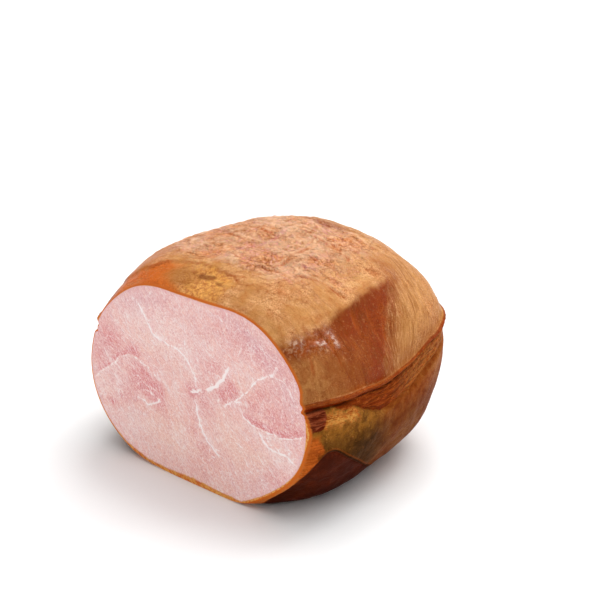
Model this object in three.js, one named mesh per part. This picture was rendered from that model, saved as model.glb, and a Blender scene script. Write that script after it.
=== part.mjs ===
// The cut half of a boneless smoked ham, resting on its flattened underside.
// Millimetres, +Z up: X runs across the cut face, Y from the cut into the rounded end.
import * as THREE from 'three';

// Driving dimensions
const LENGTH = 170;
const SEAM_HEIGHT = 84;
const CUT_LEAN = 0.098;
const LEAN_FADES_BY = 80;
const BASE_ROUNDING = 6;
const CUT_STAYS_FLAT_FOR = 6;

// How far the meat reaches from the seam's axis each way, where along Y it reaches furthest,
// and how squarely it turns in towards its ends
const RIGHT = { reach: 110, widestAt: 74, squareness: 3.47 };
const LEFT = { reach: 92, widestAt: 53, squareness: 1.94 };
const UP = { reach: 61, widestAt: 75.5, squareness: 2.84 };
const DOWN = { reach: 116, widestAt: 67, squareness: 2.24 };

// How full the four corners of a section are: 2 is an ellipse, more is squarer
const UPPER_FULLNESS = 2.0;
const LOWER_RIGHT_FULLNESS = 2.53;
const LOWER_LEFT_FULLNESS = 2.8;

// Uneven outline of the cut, as shares of its radius, fading out towards the far end
const OUTLINE_WAVES = [
  { turns: 2, cosine: 0.038, sine: 0.008 },
  { turns: 3, cosine: -0.016, sine: -0.004 },
  { turns: 4, cosine: -0.011, sine: 0.013 },
  { turns: 5, cosine: 0.005, sine: -0.03 },
  { turns: 6, cosine: -0.009, sine: -0.006 },
  { turns: 7, cosine: -0.003, sine: -0.011 },
];

// The raised seam round the ham: its height over the axis in degrees, at depths along Y
const RIGHT_SEAM_DEGREES = [[0, 0], [14, 0.9], [36, 0.4], [62, -1], [85, 0], [116, 3.2], [140, 5]];
const LEFT_SEAM_DEGREES = [[0, 3.5], [60, 2], [110, 4], [140, 5]];
const LIP_WIDTH = 1.9;
const LIP_HEIGHT = [[0, 1.3], [80, 1.7], [125, 2.3], [160, 1.6], [LENGTH, 0.6]];
const GROOVE_BELOW_LIP = 3.2;
const GROOVE_WIDTH = 1.6;
const GROOVE_DEPTH = 1.8;
const SEAM_FADES_WITHIN = 20;

// The sunken strip under the seam, as millimetres below it, and the crease along its lower edge
const RIGHT_STRIP_EDGE = [[20, 1], [35, 10], [46, 16], [60, 19], [100, 19], [140, 15], [LENGTH, 10]];
const LEFT_STRIP_EDGE = [[0, 8], [60, 14], [120, 13], [LENGTH, 10]];
const STRIP_DEPTH = 1.2;
const STRIP_CREASE_DEPTH = 1.4;
const STRIP_CREASE_WIDTH = 2;
const STRIP_FADES_WITHIN = { to: 4, from: 30 };

// The patch of bare ribbed meat where the seam meets the cut, below the seam
const RIBS = { depthAlongY: 10, top: 1, bottom: 15, pitch: 3.2, height: 0.7, sunk: 1, slant: 0.25 };

// Where the seam meets the cut: a notch in the cut's outline and a bulge of the meat below it
const CORNER_NOTCH = { degrees: 1.5, width: 6, depth: 4, fadesBy: 16 };
const CORNER_BULGE = { degrees: -9, width: 8, height: 3.4, fadesBy: 26 };

// The flap that overlaps the sunken underside on the right: the height of its edge along Y
const FLAP_EDGE_HEIGHT = [[4, 36], [7.5, 49], [15, 54], [29, 42], [54, 21], [76, 5], [90, -6]];
const FLAP_FRONT = { low: 2.4, high: 7.5, from: 26, to: 52 };
const FLAP_THICKNESS = 2.4;
const FLAP_SETTLES = { from: 3, to: 18 };
const FLAP_EDGE_WIDTH = 4;

// The shoulder between the top and the right side, and the flatter side under it
const SHOULDER = { degrees: 28, width: 9, height: 2.4, along: [[30, 0], [55, 1], [104, 1], [120, 0]] };
const FLAT_SIDE = { degrees: 14, width: 16, depth: 1.6, along: [[30, 0], [50, 1], [70, 1], [95, 0]] };

// The crease that runs down from the shoulder's far end and parts the side from the end
const END_CREASE_DEGREES = [[64, 4], [71, 8], [78, 13.6], [85, 18], [96, 23.6], [107, 29]];
const END_CREASE = { width: 3, depth: 0.9, along: [[60, 0], [68, 1], [104, 1], [112, 0]] };

// The ledge across the front of the top: its depth along Y at degrees round the section
const LEDGE_DEPTH = [
  [62, 20], [78, 25], [98, 27], [116, 25.5], [127, 20], [134, 14], [150, 12], [165, 18],
];
const LEDGE = { step: 1.3, width: 2.5, runsOut: 40, fadeDegrees: 14 };

// Long swells of the whole surface: height and the wave's length along each axis
const SWELLS = [
  { height: 0.5, x: 105, y: 140, z: 95, shift: 1.3 },
  { height: 0.45, x: -64, y: 72, z: 88, shift: 0.4 },
  { height: 0.3, x: 47, y: -55, z: 39, shift: 2.1 },
];
const SWELLS_BEGIN = 30;
const SWELLS_END = 60;

// Gathered folds that run to the middle of the rounded end
const GATHER = { folds: 13, height: 0.8, from: 138, to: 165 };

// Mesh density
const STATIONS = 46;
const COLUMNS_BELOW_SEAM = [20, 17, 14.5, 12.8, 11.1, 9.5, 7.9, 6.3, 4.7, 3.2, 2];
const COLUMNS_ABOVE_SEAM = [0, 1.2, 2.6, 4.5, 8, 13];
const PLAIN_TURNS = 28;
const NORMAL_STEP = 0.01;

const SKIN_COLOUR = 0xb9783f;

// Small helpers
function clamp01(value) {
  return Math.min(Math.max(value, 0), 1);
}

function smooth(from, to, value) {
  const t = clamp01((value - from) / (to - from));
  return t * t * (3 - 2 * t);
}

function bell(distance, width) {
  return Math.exp(-((distance / width) ** 2));
}

function degrees(radians) {
  return (radians * 180) / Math.PI;
}

function eased(points, at) {
  if (at <= points[0][0]) return points[0][1];
  for (let i = 1; i < points.length; i += 1) {
    const [from, low] = points[i - 1];
    const [to, high] = points[i];
    if (at <= to) return low + (high - low) * smooth(from, to, at);
  }
  return points[points.length - 1][1];
}

// The plain body, before its relief
function halfSize(way, y) {
  const t = clamp01(Math.abs((y - way.widestAt) / (LENGTH - way.widestAt)));
  return way.reach * (1 - t ** way.squareness) ** (1 / way.squareness);
}

function sectionRadius(y, turn) {
  const cosine = Math.cos(turn);
  const sine = Math.sin(turn);
  const across = halfSize(cosine > 0 ? RIGHT : LEFT, y) + 1e-6;
  const upright = halfSize(sine > 0 ? UP : DOWN, y) + 1e-6;
  const lowerFullness = cosine > 0 ? LOWER_RIGHT_FULLNESS : LOWER_LEFT_FULLNESS;
  const fullness = sine > 0 ? UPPER_FULLNESS : lowerFullness;
  const sum = Math.abs(cosine / across) ** fullness + Math.abs(sine / upright) ** fullness;
  let wave = 0;
  for (const { turns, cosine: c, sine: s } of OUTLINE_WAVES) {
    wave += c * Math.cos(turns * turn) + s * Math.sin(turns * turn);
  }
  return sum ** (-1 / fullness) * (1 + wave * (1 - y / LENGTH));
}

function bodyPoint(y, turn) {
  const radius = sectionRadius(y, turn);
  return new THREE.Vector3(radius * Math.cos(turn), y, SEAM_HEIGHT + radius * Math.sin(turn));
}

function bodyNormal(y, turn) {
  const nearer = Math.min(y, LENGTH - 2 * NORMAL_STEP);
  const here = bodyPoint(nearer, turn);
  const onward = bodyPoint(nearer + NORMAL_STEP, turn).sub(here);
  const round = bodyPoint(nearer, turn + NORMAL_STEP).sub(here);
  return onward.cross(round).normalize();
}

// Where a point is: right or left side, and its angle up from the axis on that side
function sideOf(turn) {
  const right = Math.cos(turn) > 0;
  const leftAngle = turn > 0 ? Math.PI - turn : -Math.PI - turn;
  return { right, angle: right ? turn : leftAngle };
}

function seamAngle(right, y) {
  return eased(right ? RIGHT_SEAM_DEGREES : LEFT_SEAM_DEGREES, y) * (Math.PI / 180);
}

// Relief of the seam, from the height above it along the skin
function seamRelief(above, y) {
  const lip = eased(LIP_HEIGHT, y) * bell(above, LIP_WIDTH);
  const groove = GROOVE_DEPTH * bell(above + GROOVE_BELOW_LIP, GROOVE_WIDTH);
  return lip - groove * smooth(LENGTH, LENGTH - SEAM_FADES_WITHIN, y);
}

function stripRelief(above, right, y) {
  const edge = eased(right ? RIGHT_STRIP_EDGE : LEFT_STRIP_EDGE, y);
  const along = smooth(LENGTH - STRIP_FADES_WITHIN.to, LENGTH - STRIP_FADES_WITHIN.from, y);
  const fade = along * smooth(1, 5, edge);
  const inside = smooth(GROOVE_BELOW_LIP, GROOVE_BELOW_LIP + 1.5, -above);
  const sunk = STRIP_DEPTH * inside * (1 - smooth(edge - 1, edge + 2, -above));
  return -fade * (sunk + STRIP_CREASE_DEPTH * bell(above + edge, STRIP_CREASE_WIDTH));
}

function ribRelief(above, right, y) {
  if (!right) return 0;
  const patch = smooth(RIBS.depthAlongY + 2, RIBS.depthAlongY - 2, y)
    * smooth(RIBS.top, RIBS.top + 2, -above) * smooth(RIBS.bottom + 2, RIBS.bottom - 1, -above);
  const rib = RIBS.height * Math.cos((2 * Math.PI * (above + RIBS.slant * y)) / RIBS.pitch);
  return patch * (rib - RIBS.sunk);
}

// The underside lies lower than the flap over it, behind a band along the cut's edge
function flapRelief(right, y, height) {
  if (!right) return 0;
  const risen = smooth(FLAP_FRONT.from, FLAP_FRONT.to, height);
  const front = FLAP_FRONT.low + (FLAP_FRONT.high - FLAP_FRONT.low) * risen;
  const below = smooth(0, FLAP_EDGE_WIDTH, eased(FLAP_EDGE_HEIGHT, y) - height);
  const behind = smooth(0, FLAP_EDGE_WIDTH, y - front);
  return -FLAP_THICKNESS * below * behind * smooth(FLAP_SETTLES.from, FLAP_SETTLES.to, height);
}

function sideRelief(right, angle, y, radius) {
  if (!right) return 0;
  const offShoulder = radius * (angle - THREE.MathUtils.degToRad(SHOULDER.degrees));
  const offFlat = radius * (angle - THREE.MathUtils.degToRad(FLAT_SIDE.degrees));
  const creaseAt = THREE.MathUtils.degToRad(eased(END_CREASE_DEGREES, y));
  const offCrease = radius * (angle - creaseAt);
  const shoulder = SHOULDER.height * bell(offShoulder, SHOULDER.width) * eased(SHOULDER.along, y);
  const flat = FLAT_SIDE.depth * bell(offFlat, FLAT_SIDE.width) * eased(FLAT_SIDE.along, y);
  const crease = END_CREASE.depth * bell(offCrease, END_CREASE.width) * eased(END_CREASE.along, y);
  return shoulder - flat - crease;
}

function ledgeRelief(turn, y) {
  const round = degrees(turn);
  const [first] = LEDGE_DEPTH[0];
  const [last] = LEDGE_DEPTH[LEDGE_DEPTH.length - 1];
  const within = smooth(first - LEDGE.fadeDegrees, first + LEDGE.fadeDegrees, round)
    * smooth(last + LEDGE.fadeDegrees / 2, last - LEDGE.fadeDegrees, round);
  const edge = eased(LEDGE_DEPTH, round);
  const risen = smooth(edge - LEDGE.width, edge + LEDGE.width, y);
  return LEDGE.step * within * risen * smooth(edge + LEDGE.runsOut, edge, y);
}

function cornerRelief(right, angle, y, radius) {
  if (!right) return 0;
  const fromNotch = radius * (angle - THREE.MathUtils.degToRad(CORNER_NOTCH.degrees));
  const fromBulge = radius * (angle - THREE.MathUtils.degToRad(CORNER_BULGE.degrees));
  const bulge = CORNER_BULGE.height * bell(fromBulge, CORNER_BULGE.width);
  const notch = CORNER_NOTCH.depth * bell(fromNotch, CORNER_NOTCH.width);
  return bulge * smooth(CORNER_BULGE.fadesBy, 0, y) - notch * smooth(CORNER_NOTCH.fadesBy, 0, y);
}

function swellRelief(point) {
  let sum = 0;
  for (const { height, x, y, z, shift } of SWELLS) {
    sum += height * Math.sin(2 * Math.PI * (point.x / x + point.y / y + point.z / z) + shift);
  }
  return sum * smooth(0, SWELLS_BEGIN, point.y) * smooth(LENGTH, LENGTH - SWELLS_END, point.y);
}

function gatherRelief(turn, y) {
  const fold = Math.cos(GATHER.folds * turn + 2 * Math.sin(3 * turn));
  return GATHER.height * fold * smooth(GATHER.from, GATHER.to, y) * smooth(LENGTH, LENGTH - 3, y);
}

// The smooth flat that the ham's own weight has pressed into its underside
function settled(height) {
  if (height > BASE_ROUNDING) return height;
  if (height < -BASE_ROUNDING) return 0;
  return BASE_ROUNDING * ((height + BASE_ROUNDING) / (2 * BASE_ROUNDING)) ** 2;
}

function skinPoint(y, turn) {
  const point = bodyPoint(y, turn);
  const { right, angle } = sideOf(turn);
  const radius = sectionRadius(y, turn);
  const above = radius * (angle - seamAngle(right, y));
  const relief = seamRelief(above, y)
    + stripRelief(above, right, y)
    + ribRelief(above, right, y)
    + flapRelief(right, y, point.z)
    + sideRelief(right, angle, y, radius)
    + cornerRelief(right, angle, y, radius)
    + ledgeRelief(turn, y)
    + swellRelief(point)
    + gatherRelief(turn, y);
  const outward = bodyNormal(y, turn);
  outward.y *= smooth(0, CUT_STAYS_FLAT_FOR, y);
  point.addScaledVector(outward, relief);
  point.z = settled(point.z);
  point.y += CUT_LEAN * (1 - clamp01(y / LEAN_FADES_BY)) ** 2 * (point.z - SEAM_HEIGHT);
  return point;
}

function meanRadius(y) {
  return (halfSize(RIGHT, y) + halfSize(LEFT, y) + halfSize(UP, y) + halfSize(DOWN, y)) / 4;
}

// Depths along Y that lie evenly along the body's curve, from the cut to the end
function stationDepths(count) {
  const steps = 3000;
  const depths = [];
  const lengths = [0];
  for (let i = 0; i <= steps; i += 1) {
    depths.push(LENGTH * (1 - (1 - i / steps) ** 3));
    if (i > 0) {
      const rise = meanRadius(depths[i]) - meanRadius(depths[i - 1]);
      lengths.push(lengths[i - 1] + Math.hypot(depths[i] - depths[i - 1], rise));
    }
  }
  const chosen = [];
  for (let i = 0, at = 0; i < count; i += 1) {
    while (lengths[at] < (lengths[steps] * i) / count) at += 1;
    chosen.push(depths[at]);
  }
  return chosen;
}

// Turns round a section, close together by the seam on both sides and following its height
function sectionTurns(y) {
  const rightSeam = seamAngle(true, y);
  const leftSeam = Math.PI - seamAngle(false, y);
  const offsets = COLUMNS_BELOW_SEAM.map((offset) => -offset).concat(COLUMNS_ABOVE_SEAM);
  const leftOffsets = offsets.map((offset) => -offset).reverse();
  const turns = offsets.map((offset) => rightSeam + offset / RIGHT.reach);
  const addPlain = (end) => {
    const start = turns[turns.length - 1];
    for (let i = 1; i < PLAIN_TURNS; i += 1) turns.push(start + ((end - start) * i) / PLAIN_TURNS);
  };
  addPlain(leftSeam + leftOffsets[0] / LEFT.reach);
  turns.push(...leftOffsets.map((offset) => leftSeam + offset / LEFT.reach));
  addPlain(2 * Math.PI + rightSeam + offsets[0] / RIGHT.reach);
  return turns.map((turn) => Math.atan2(Math.sin(turn), Math.cos(turn)));
}

function hamGeometry() {
  const positions = [];
  const triangles = [];
  const around = sectionTurns(0).length;
  for (const y of stationDepths(STATIONS)) {
    for (const turn of sectionTurns(y)) positions.push(...skinPoint(y, turn).toArray());
  }
  const cutMiddle = positions.length / 3;
  positions.push(0, 0, SEAM_HEIGHT);
  const endMiddle = cutMiddle + 1;
  positions.push(0, LENGTH, SEAM_HEIGHT);
  const lastRow = (STATIONS - 1) * around;
  for (let i = 0; i < around; i += 1) {
    const next = (i + 1) % around;
    triangles.push(cutMiddle, i, next);
    triangles.push(endMiddle, lastRow + next, lastRow + i);
    for (let row = 0; row < lastRow; row += around) {
      triangles.push(row + i, row + around + i, row + around + next);
      triangles.push(row + i, row + around + next, row + next);
    }
  }
  const geometry = new THREE.BufferGeometry();
  geometry.setAttribute('position', new THREE.Float32BufferAttribute(positions, 3));
  geometry.setIndex(triangles);
  geometry.computeBoundingBox();
  const middle = geometry.boundingBox.getCenter(new THREE.Vector3());
  geometry.translate(-middle.x, -middle.y, 0);
  geometry.computeVertexNormals();
  return geometry;
}

const skin = new THREE.MeshStandardMaterial({ color: SKIN_COLOUR, roughness: 0.45, metalness: 0 });
const ham = new THREE.Mesh(hamGeometry(), skin);
ham.name = 'ham';

const group = new THREE.Group();
group.add(ham);

export default group;
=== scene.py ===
"""The cut half of a smoked ham, with its studio floor, lights and camera.

The ham is one closed mesh: a grid of skin round the body and a triangulated cut face.
The form is worked out in millimetres, with X across the cut, Y into the rounded end and
Z up, and is placed on the frame's node at the end.
"""

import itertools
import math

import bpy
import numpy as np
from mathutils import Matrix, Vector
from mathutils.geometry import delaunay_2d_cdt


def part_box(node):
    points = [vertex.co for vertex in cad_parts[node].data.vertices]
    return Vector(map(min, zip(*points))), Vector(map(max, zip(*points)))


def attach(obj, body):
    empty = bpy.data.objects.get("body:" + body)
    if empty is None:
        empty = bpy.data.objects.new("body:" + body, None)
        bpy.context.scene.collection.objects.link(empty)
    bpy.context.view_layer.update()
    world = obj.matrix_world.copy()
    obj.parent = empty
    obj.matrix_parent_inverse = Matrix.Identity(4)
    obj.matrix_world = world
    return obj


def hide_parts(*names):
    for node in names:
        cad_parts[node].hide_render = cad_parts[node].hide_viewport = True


bl_info = {
    "name": "Smoked Ham",
    "version": (1, 0, 0),
    "blender": (4, 5, 0),
    "location": "3D View > Sidebar > Ham",
    "description": "Models the cut half of a smoked ham with its skin, marbled cut and studio",
    "category": "Add Mesh",
}

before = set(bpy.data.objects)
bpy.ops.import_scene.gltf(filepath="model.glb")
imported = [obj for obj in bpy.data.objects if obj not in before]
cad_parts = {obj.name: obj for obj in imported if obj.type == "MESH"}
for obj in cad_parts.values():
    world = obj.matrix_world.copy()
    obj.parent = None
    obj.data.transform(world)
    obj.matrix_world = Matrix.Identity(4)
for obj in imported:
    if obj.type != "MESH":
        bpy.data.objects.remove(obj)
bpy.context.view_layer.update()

MM = 0.001
BODY = "root"
NODE = "ham"

# The body's form, in millimetres
LENGTH = 170.0
SEAM_HEIGHT = 84.0
CUT_LEAN = 0.098
LEAN_FADES_BY = 80.0
BASE_ROUNDING = 6.0

# How far the meat reaches each way, the depth where it reaches furthest, and how squarely it ends
RIGHT = (110.0, 74.0, 3.47)
LEFT = (92.0, 53.0, 1.94)
UP = (61.0, 75.5, 2.84)
DOWN = (116.0, 67.0, 2.24)
UPPER_FULLNESS = 2.0
LOWER_RIGHT_FULLNESS = 2.53
LOWER_LEFT_FULLNESS = 2.8

# Uneven outline of the cut: waves round it, with the share of the radius as cosine and sine
OUTLINE_WAVES = (
    (2, 0.038, 0.008), (3, -0.016, -0.004), (4, -0.011, 0.013),
    (5, 0.005, -0.03), (6, -0.009, -0.006), (7, -0.003, -0.011),
)

# The raised seam: degrees over the axis at depths from the cut
RIGHT_SEAM_DEGREES = ((0, 0), (14, 0.9), (36, 0.4), (62, -1), (85, 0), (116, 3.2), (140, 5))
LEFT_SEAM_DEGREES = ((0, 3.5), (60, 2), (110, 4), (140, 5))
LIP_WIDTH = 1.7
LIP_HEIGHT = ((0, 1.3), (80, 1.7), (125, 2.3), (160, 1.6), (LENGTH, 0.6))
GROOVE_BELOW_LIP = 3.1
GROOVE_WIDTH = 1.4
GROOVE_DEPTH = 1.9

# The sunken strip under the seam, in millimetres below it at depths from the cut
RIGHT_STRIP_EDGE = ((20, 1), (35, 10), (46, 16), (60, 19), (100, 19), (140, 15), (LENGTH, 10))
LEFT_STRIP_EDGE = ((0, 8), (60, 14), (120, 13), (LENGTH, 10))
STRIP_DEPTH = 1.2
STRIP_CREASE_DEPTH = 1.5
STRIP_CREASE_WIDTH = 1.5

# The bare ribbed meat below the seam beside the cut
RIBS_END = 10.0
RIBS_TOP = 1.0
RIBS_BOTTOM = 15.0
RIB_PITCH = 2.6
RIB_HEIGHT = 0.55
RIBS_SUNK = 1.0

# The flap over the sunken underside: the height of its edge at depths from the cut
FLAP_EDGE_HEIGHT = ((4, 36), (7.5, 49), (15, 54), (29, 42), (54, 21), (76, 5), (90, -6))
FLAP_THICKNESS = 2.4
FLAP_EDGE_WIDTH = 1.8

# The shoulder and the flatter side below it
SHOULDER_DEGREES = 28.0
SHOULDER_HEIGHT = 2.4
SHOULDER_WIDTH = 9.0
FLAT_SIDE_DEGREES = 14.0
FLAT_SIDE_DEPTH = 1.6
FLAT_SIDE_WIDTH = 16.0

# The sharper edge along the shoulder, in degrees at depths from the cut
SHOULDER_EDGE = (
    (0, 25), (12, 25.5), (27, 25), (42, 26), (56, 27), (66, 27.6), (84, 28.2), (110, 28.6), (140, 30),
)
EDGE_HEIGHT = 0.9
EDGE_WIDTH = 3.2

# The crease that parts the side from the end, in degrees at depths from the cut
END_CREASE_DEGREES = ((64, 4), (71, 8), (78, 13.6), (85, 18), (96, 23.6), (107, 29))
END_CREASE_DEPTH = 0.9
END_CREASE_WIDTH = 1.8
END_CREASE_SLANT = 0.6

# At the cut's right corner, a notch over a bulge: height, degrees up, width, and depth it fades by
CORNER = ((-4.0, 1.5, 6.0, 16.0), (3.4, -9.0, 8.0, 26.0))

# The ledge across the front of the top: its depth at degrees round the section
LEDGE_DEPTH = ((62, 20), (78, 25), (98, 27), (116, 25.5), (127, 20), (134, 14), (150, 12), (165, 18))
LEDGE_STEP = 1.3
LEDGE_WIDTH = 2.0

# Long swells of the surface: height, wave length along each axis, shift
SWELLS = (
    (0.5, (105.0, 140.0, 95.0), 1.3),
    (0.45, (-64.0, 72.0, 88.0), 0.4),
    (0.3, (47.0, -55.0, 39.0), 2.1),
)

# The gathered folds of the end
GATHERS = 13
GATHER_HEIGHT = 0.8

RIM_ROUNDING = 0.9

# The long streaks of the skin lean back towards the end by this share, fading over this height
STREAK_LEAN = 0.84
STREAK_LEAN_LEFT = 0.8
STREAK_LEAN_HEIGHT = 55.0

# Mesh density
COLUMNS = 500
SEAM_COLUMN_SHARE = 0.18
SEAM_BAND_DEGREES = 8.0
ROWS = 132
FRONT_ROW_SPACING = 0.8
BACK_ROW_SPACING = 2.5
CUT_SPACING = 0.95
SEAM_LINE_SPACING = 0.6
CLEAR_OF_SEAMS = 0.8
LEAST_GAP = 0.28
RIM_CLEARANCE = 0.35

# Fat seams on the cut, as points across and above the seam's height, with width and strength
FAT_SEAMS = (
    (((-48.8, 29.3), (-46, 26.7), (-38, 17), (-31, 8.5), (-18.5, 6.5), (-8, 4.6), (-2, 0.5),
      (3.5, -6), (8, -13.6)), 0.75, 0.8),
    (((5.5, -22.9), (9, -31.6), (10.6, -37.4), (13.5, -42.8), (17.2, -47.9), (21.7, -52),
      (27.1, -55.7), (30.6, -57.3)), 0.8, 0.85),
    (((21.7, -52), (21.1, -56.5), (20.5, -60.3)), 0.6, 0.6),
    (((13.7, -15.2), (19.1, -12.7), (22.7, -9.4), (27.5, -4.4), (30.5, 1.4), (34.2, 8.1)), 1.5, 1.0),
    (((2.0, -17.0), (5.3, -18.7), (9, -16.8), (13.7, -15.2)), 1.4, 0.55),
    (((37.4, -16.2), (42.1, -11.9), (48.3, -5.3), (53.5, 2.2), (59.7, 7.6), (65.8, 11.9)), 0.9, 0.7),
    (((63.5, 10.5), (68.2, 12.7), (70.5, 17), (72.3, 21.1)), 1.9, 0.6),
    (((68.2, 12.7), (77.8, 10.9), (83, 5.3), (87.3, 1.4)), 0.9, 0.55),
    (((31, -19), (37.4, -16.2), (42.4, -15.9)), 1.8, 0.5),
    (((42.4, -15.9), (46.9, -21.3), (52.9, -25.3), (62, -26.6), (71.7, -26.4), (80.6, -25.9),
      (89.9, -22.6), (96, -18.9)), 0.7, 0.65),
    (((59.7, -27.9), (64.1, -32.6), (69.3, -36.3), (74.2, -37.3), (82.6, -37), (91.3, -40.7)), 1.2, 0.8),
    (((80.6, -26), (82.1, -30.3), (85.9, -33), (84, -36.5)), 0.9, 0.55),
    (((-84, -38), (-74.4, -28.5), (-66.2, -22.2), (-60.9, -15.8), (-52.7, -11.9), (-45.4, -12.7),
      (-37.2, -14.9), (-29, -18.3), (-19.1, -22.2)), 1.1, 0.5),
    (((-40.1, -32.5), (-32, -32.3), (-28.3, -35)), 0.6, 0.7),
    (((-38, -41.5), (-32.6, -40.8), (-27, -37.5), (-20.5, -35.6)), 1.0, 0.6),
    (((41, 31.9), (42.2, 24.9), (41.1, 17.1)), 0.5, 0.45),
    (((50.6, 33.6), (55.7, 30.5), (59.9, 27.2), (61.8, 22.5)), 0.5, 0.55),
    (((11.9, 17.4), (14.7, 13.5), (18.9, 13.5)), 0.5, 0.5),
    (((23, -14.9), (26.7, -19.9), (28, -24.5)), 0.6, 0.45),
    (((11.1, -31.5), (19.8, -32.8), (25.9, -35.6)), 0.5, 0.45),
    (((39.8, -41.2), (45.8, -43.3), (48.5, -45.9)), 0.6, 0.6),
    (((42.9, -50.7), (46.7, -57.1)), 0.5, 0.5),
    (((-7.8, -54.6), (0.4, -59.6)), 0.5, 0.45),
    (((-52.4, 29.6), (-44.9, 22.1), (-42.9, 16.4)), 0.5, 0.4),
    (((31.5, -27), (35.5, -31), (37, -36)), 0.5, 0.4),
    (((58.5, -29.5), (60, -36), (59, -41)), 0.5, 0.4),
    (((-50.8, -25.1), (-43.8, -24.4), (-37.6, -27.9), (-31.6, -28.3), (-25.5, -30.3)), 0.5, 0.6),
    (((-46.3, -38.1), (-38.8, -39.6), (-33.1, -40.8), (-26.2, -36.9), (-22.4, -32.4)), 0.6, 0.75),
    (((-33.1, -40.8), (-31, -43.3), (-29.8, -46.2)), 0.5, 0.6),
    (((-12.5, -22), (-10.7, -18.2), (-6.1, -15.9)), 0.6, 0.6),
    (((1, -19.5), (7.1, -19), (11.1, -14.1)), 0.9, 0.8),
    (((-66.1, -29.3), (-61.9, -32.7), (-55.7, -32.3)), 1.2, 0.5),
    (((30.1, -22.5), (35.3, -17), (43.4, -13.6), (45.4, -16)), 0.9, 0.7),
    (((16.4, 19.1), (19.4, 15.4), (16.8, 11.6)), 0.5, 0.5),
    (((-6.2, 16.6), (-3.9, 8.1), (0.3, 1.7)), 0.5, 0.5),
    (((41.8, 25.5), (41.3, 20.1), (38.9, 14.1)), 0.5, 0.5),
    (((19.3, -32.4), (27.2, -37.5), (34.6, -36.4)), 0.5, 0.5),
)

# Redder and paler meat on the cut: middle across and up, reach along and over, tilt, amount
RED_MEAT = (
    ((-34, -29), (17, 8.5), -30, 1.0),
    ((-26, -27), (9, 6), -35, 0.8),
    ((-40, -19), (13, 4), -25, 0.55),
    ((-46, -40), (20, 9), -20, 0.28),
    ((4, -19), (6, 5), 0, 0.6),
    ((37, -9), (6, 7), 50, 0.75),
    ((30, -14), (9, 6), -30, 0.45),
    ((52, -12), (12, 9), 30, 0.5),
    ((74, -14), (20, 10), -10, 0.4),
    ((42, 24), (30, 12), -16, 0.4),
    ((16, 4), (16, 8), 20, 0.3),
    ((78, -56), (13, 12), 40, 0.35),
    ((16, -26), (14, 8), -40, 0.35),
    ((-66, -50), (4, 3), 0, 0.5),
    ((-66, -9), (15, 9), -30, 0.6),
    ((-79, -20), (8, 8), 0, 0.4),
    ((64, -4), (15, 9), 20, 0.4),
    ((8, -44), (16, 10), -50, 0.2),
)
PALE_MEAT = (
    ((-46, 24), (26, 14), -30, 0.8),
    ((-8, 18), (20, 16), 0, 0.35),
    ((-62, -34), (17, 13), -30, 0.75),
    ((-64, -58), (12, 8), 40, 0.4),
    ((-24, 4), (18, 8), -20, 0.35),
    ((80, -42), (13, 7), 0, 0.5),
    ((60, 20), (14, 6), -20, 0.4),
    ((0, 3), (14, 9), -30, 0.75),
    ((-50, -57), (14, 12), 0, 0.6),
    ((4, -54), (18, 10), 0, 0.35),
)
PEACH_MEAT = (
    ((-4, -54), (46, 20), -20, 0.9),
    ((42, -44), (28, 16), -30, 0.8),
    ((-24, -2), (28, 10), -20, 0.45),
    ((-58, -42), (18, 18), 0, 0.5),
    ((50, -6), (12, 12), 0, 0.4),
    ((62, -47), (16, 9), -20, 0.8),
)
LAVENDER_MEAT = (
    ((56, 27), (34, 7), -28, 0.9),
    ((82, 4), (9, 17), 30, 0.7),
    ((-44, 31), (28, 9), 20, 0.7),
    ((-74, -8), (8, 18), -10, 0.5),
    ((66, -62), (16, 7), 40, 0.4),
)

# Bands of meat beside a fat seam: the seam, how far above it they start and end, ends across, amount
EYE_SEAM = 9
LEFT_ARC = 12
RED_BANDS = (
    (EYE_SEAM, (0.2, 9), (44, 97), 0.9),
    (LEFT_ARC, (0.5, 13), (-84, -42), 0.8),
)
PALE_BANDS = (
    (EYE_SEAM, (-0.5, -8), (46, 92), 0.7),
    (LEFT_ARC, (-0.3, -6), (-78, -24), 1.0),
)

# Crust round the cut: its width in millimetres at degrees round the cut
CRUST_WIDTH = (
    (-180, 1.2), (-140, 1.6), (-126, 2.0), (-116, 4.2), (-100, 3.4), (-84, 4.6), (-66, 3.4), (-45, 1.8),
    (-20, 1.2), (0, 1.0), (40, 1.1), (75, 1.3), (110, 1.2), (180, 1.2),
)

# How far back from the cut the pale crust of the lower edge reaches, at degrees round the cut
CRUST_DEPTH = ((-180, 1.2), (-128, 1.2), (-112, 4), (-60, 4.5), (-40, 3), (-20, 1), (20, 0.6), (180, 0.8))

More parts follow.
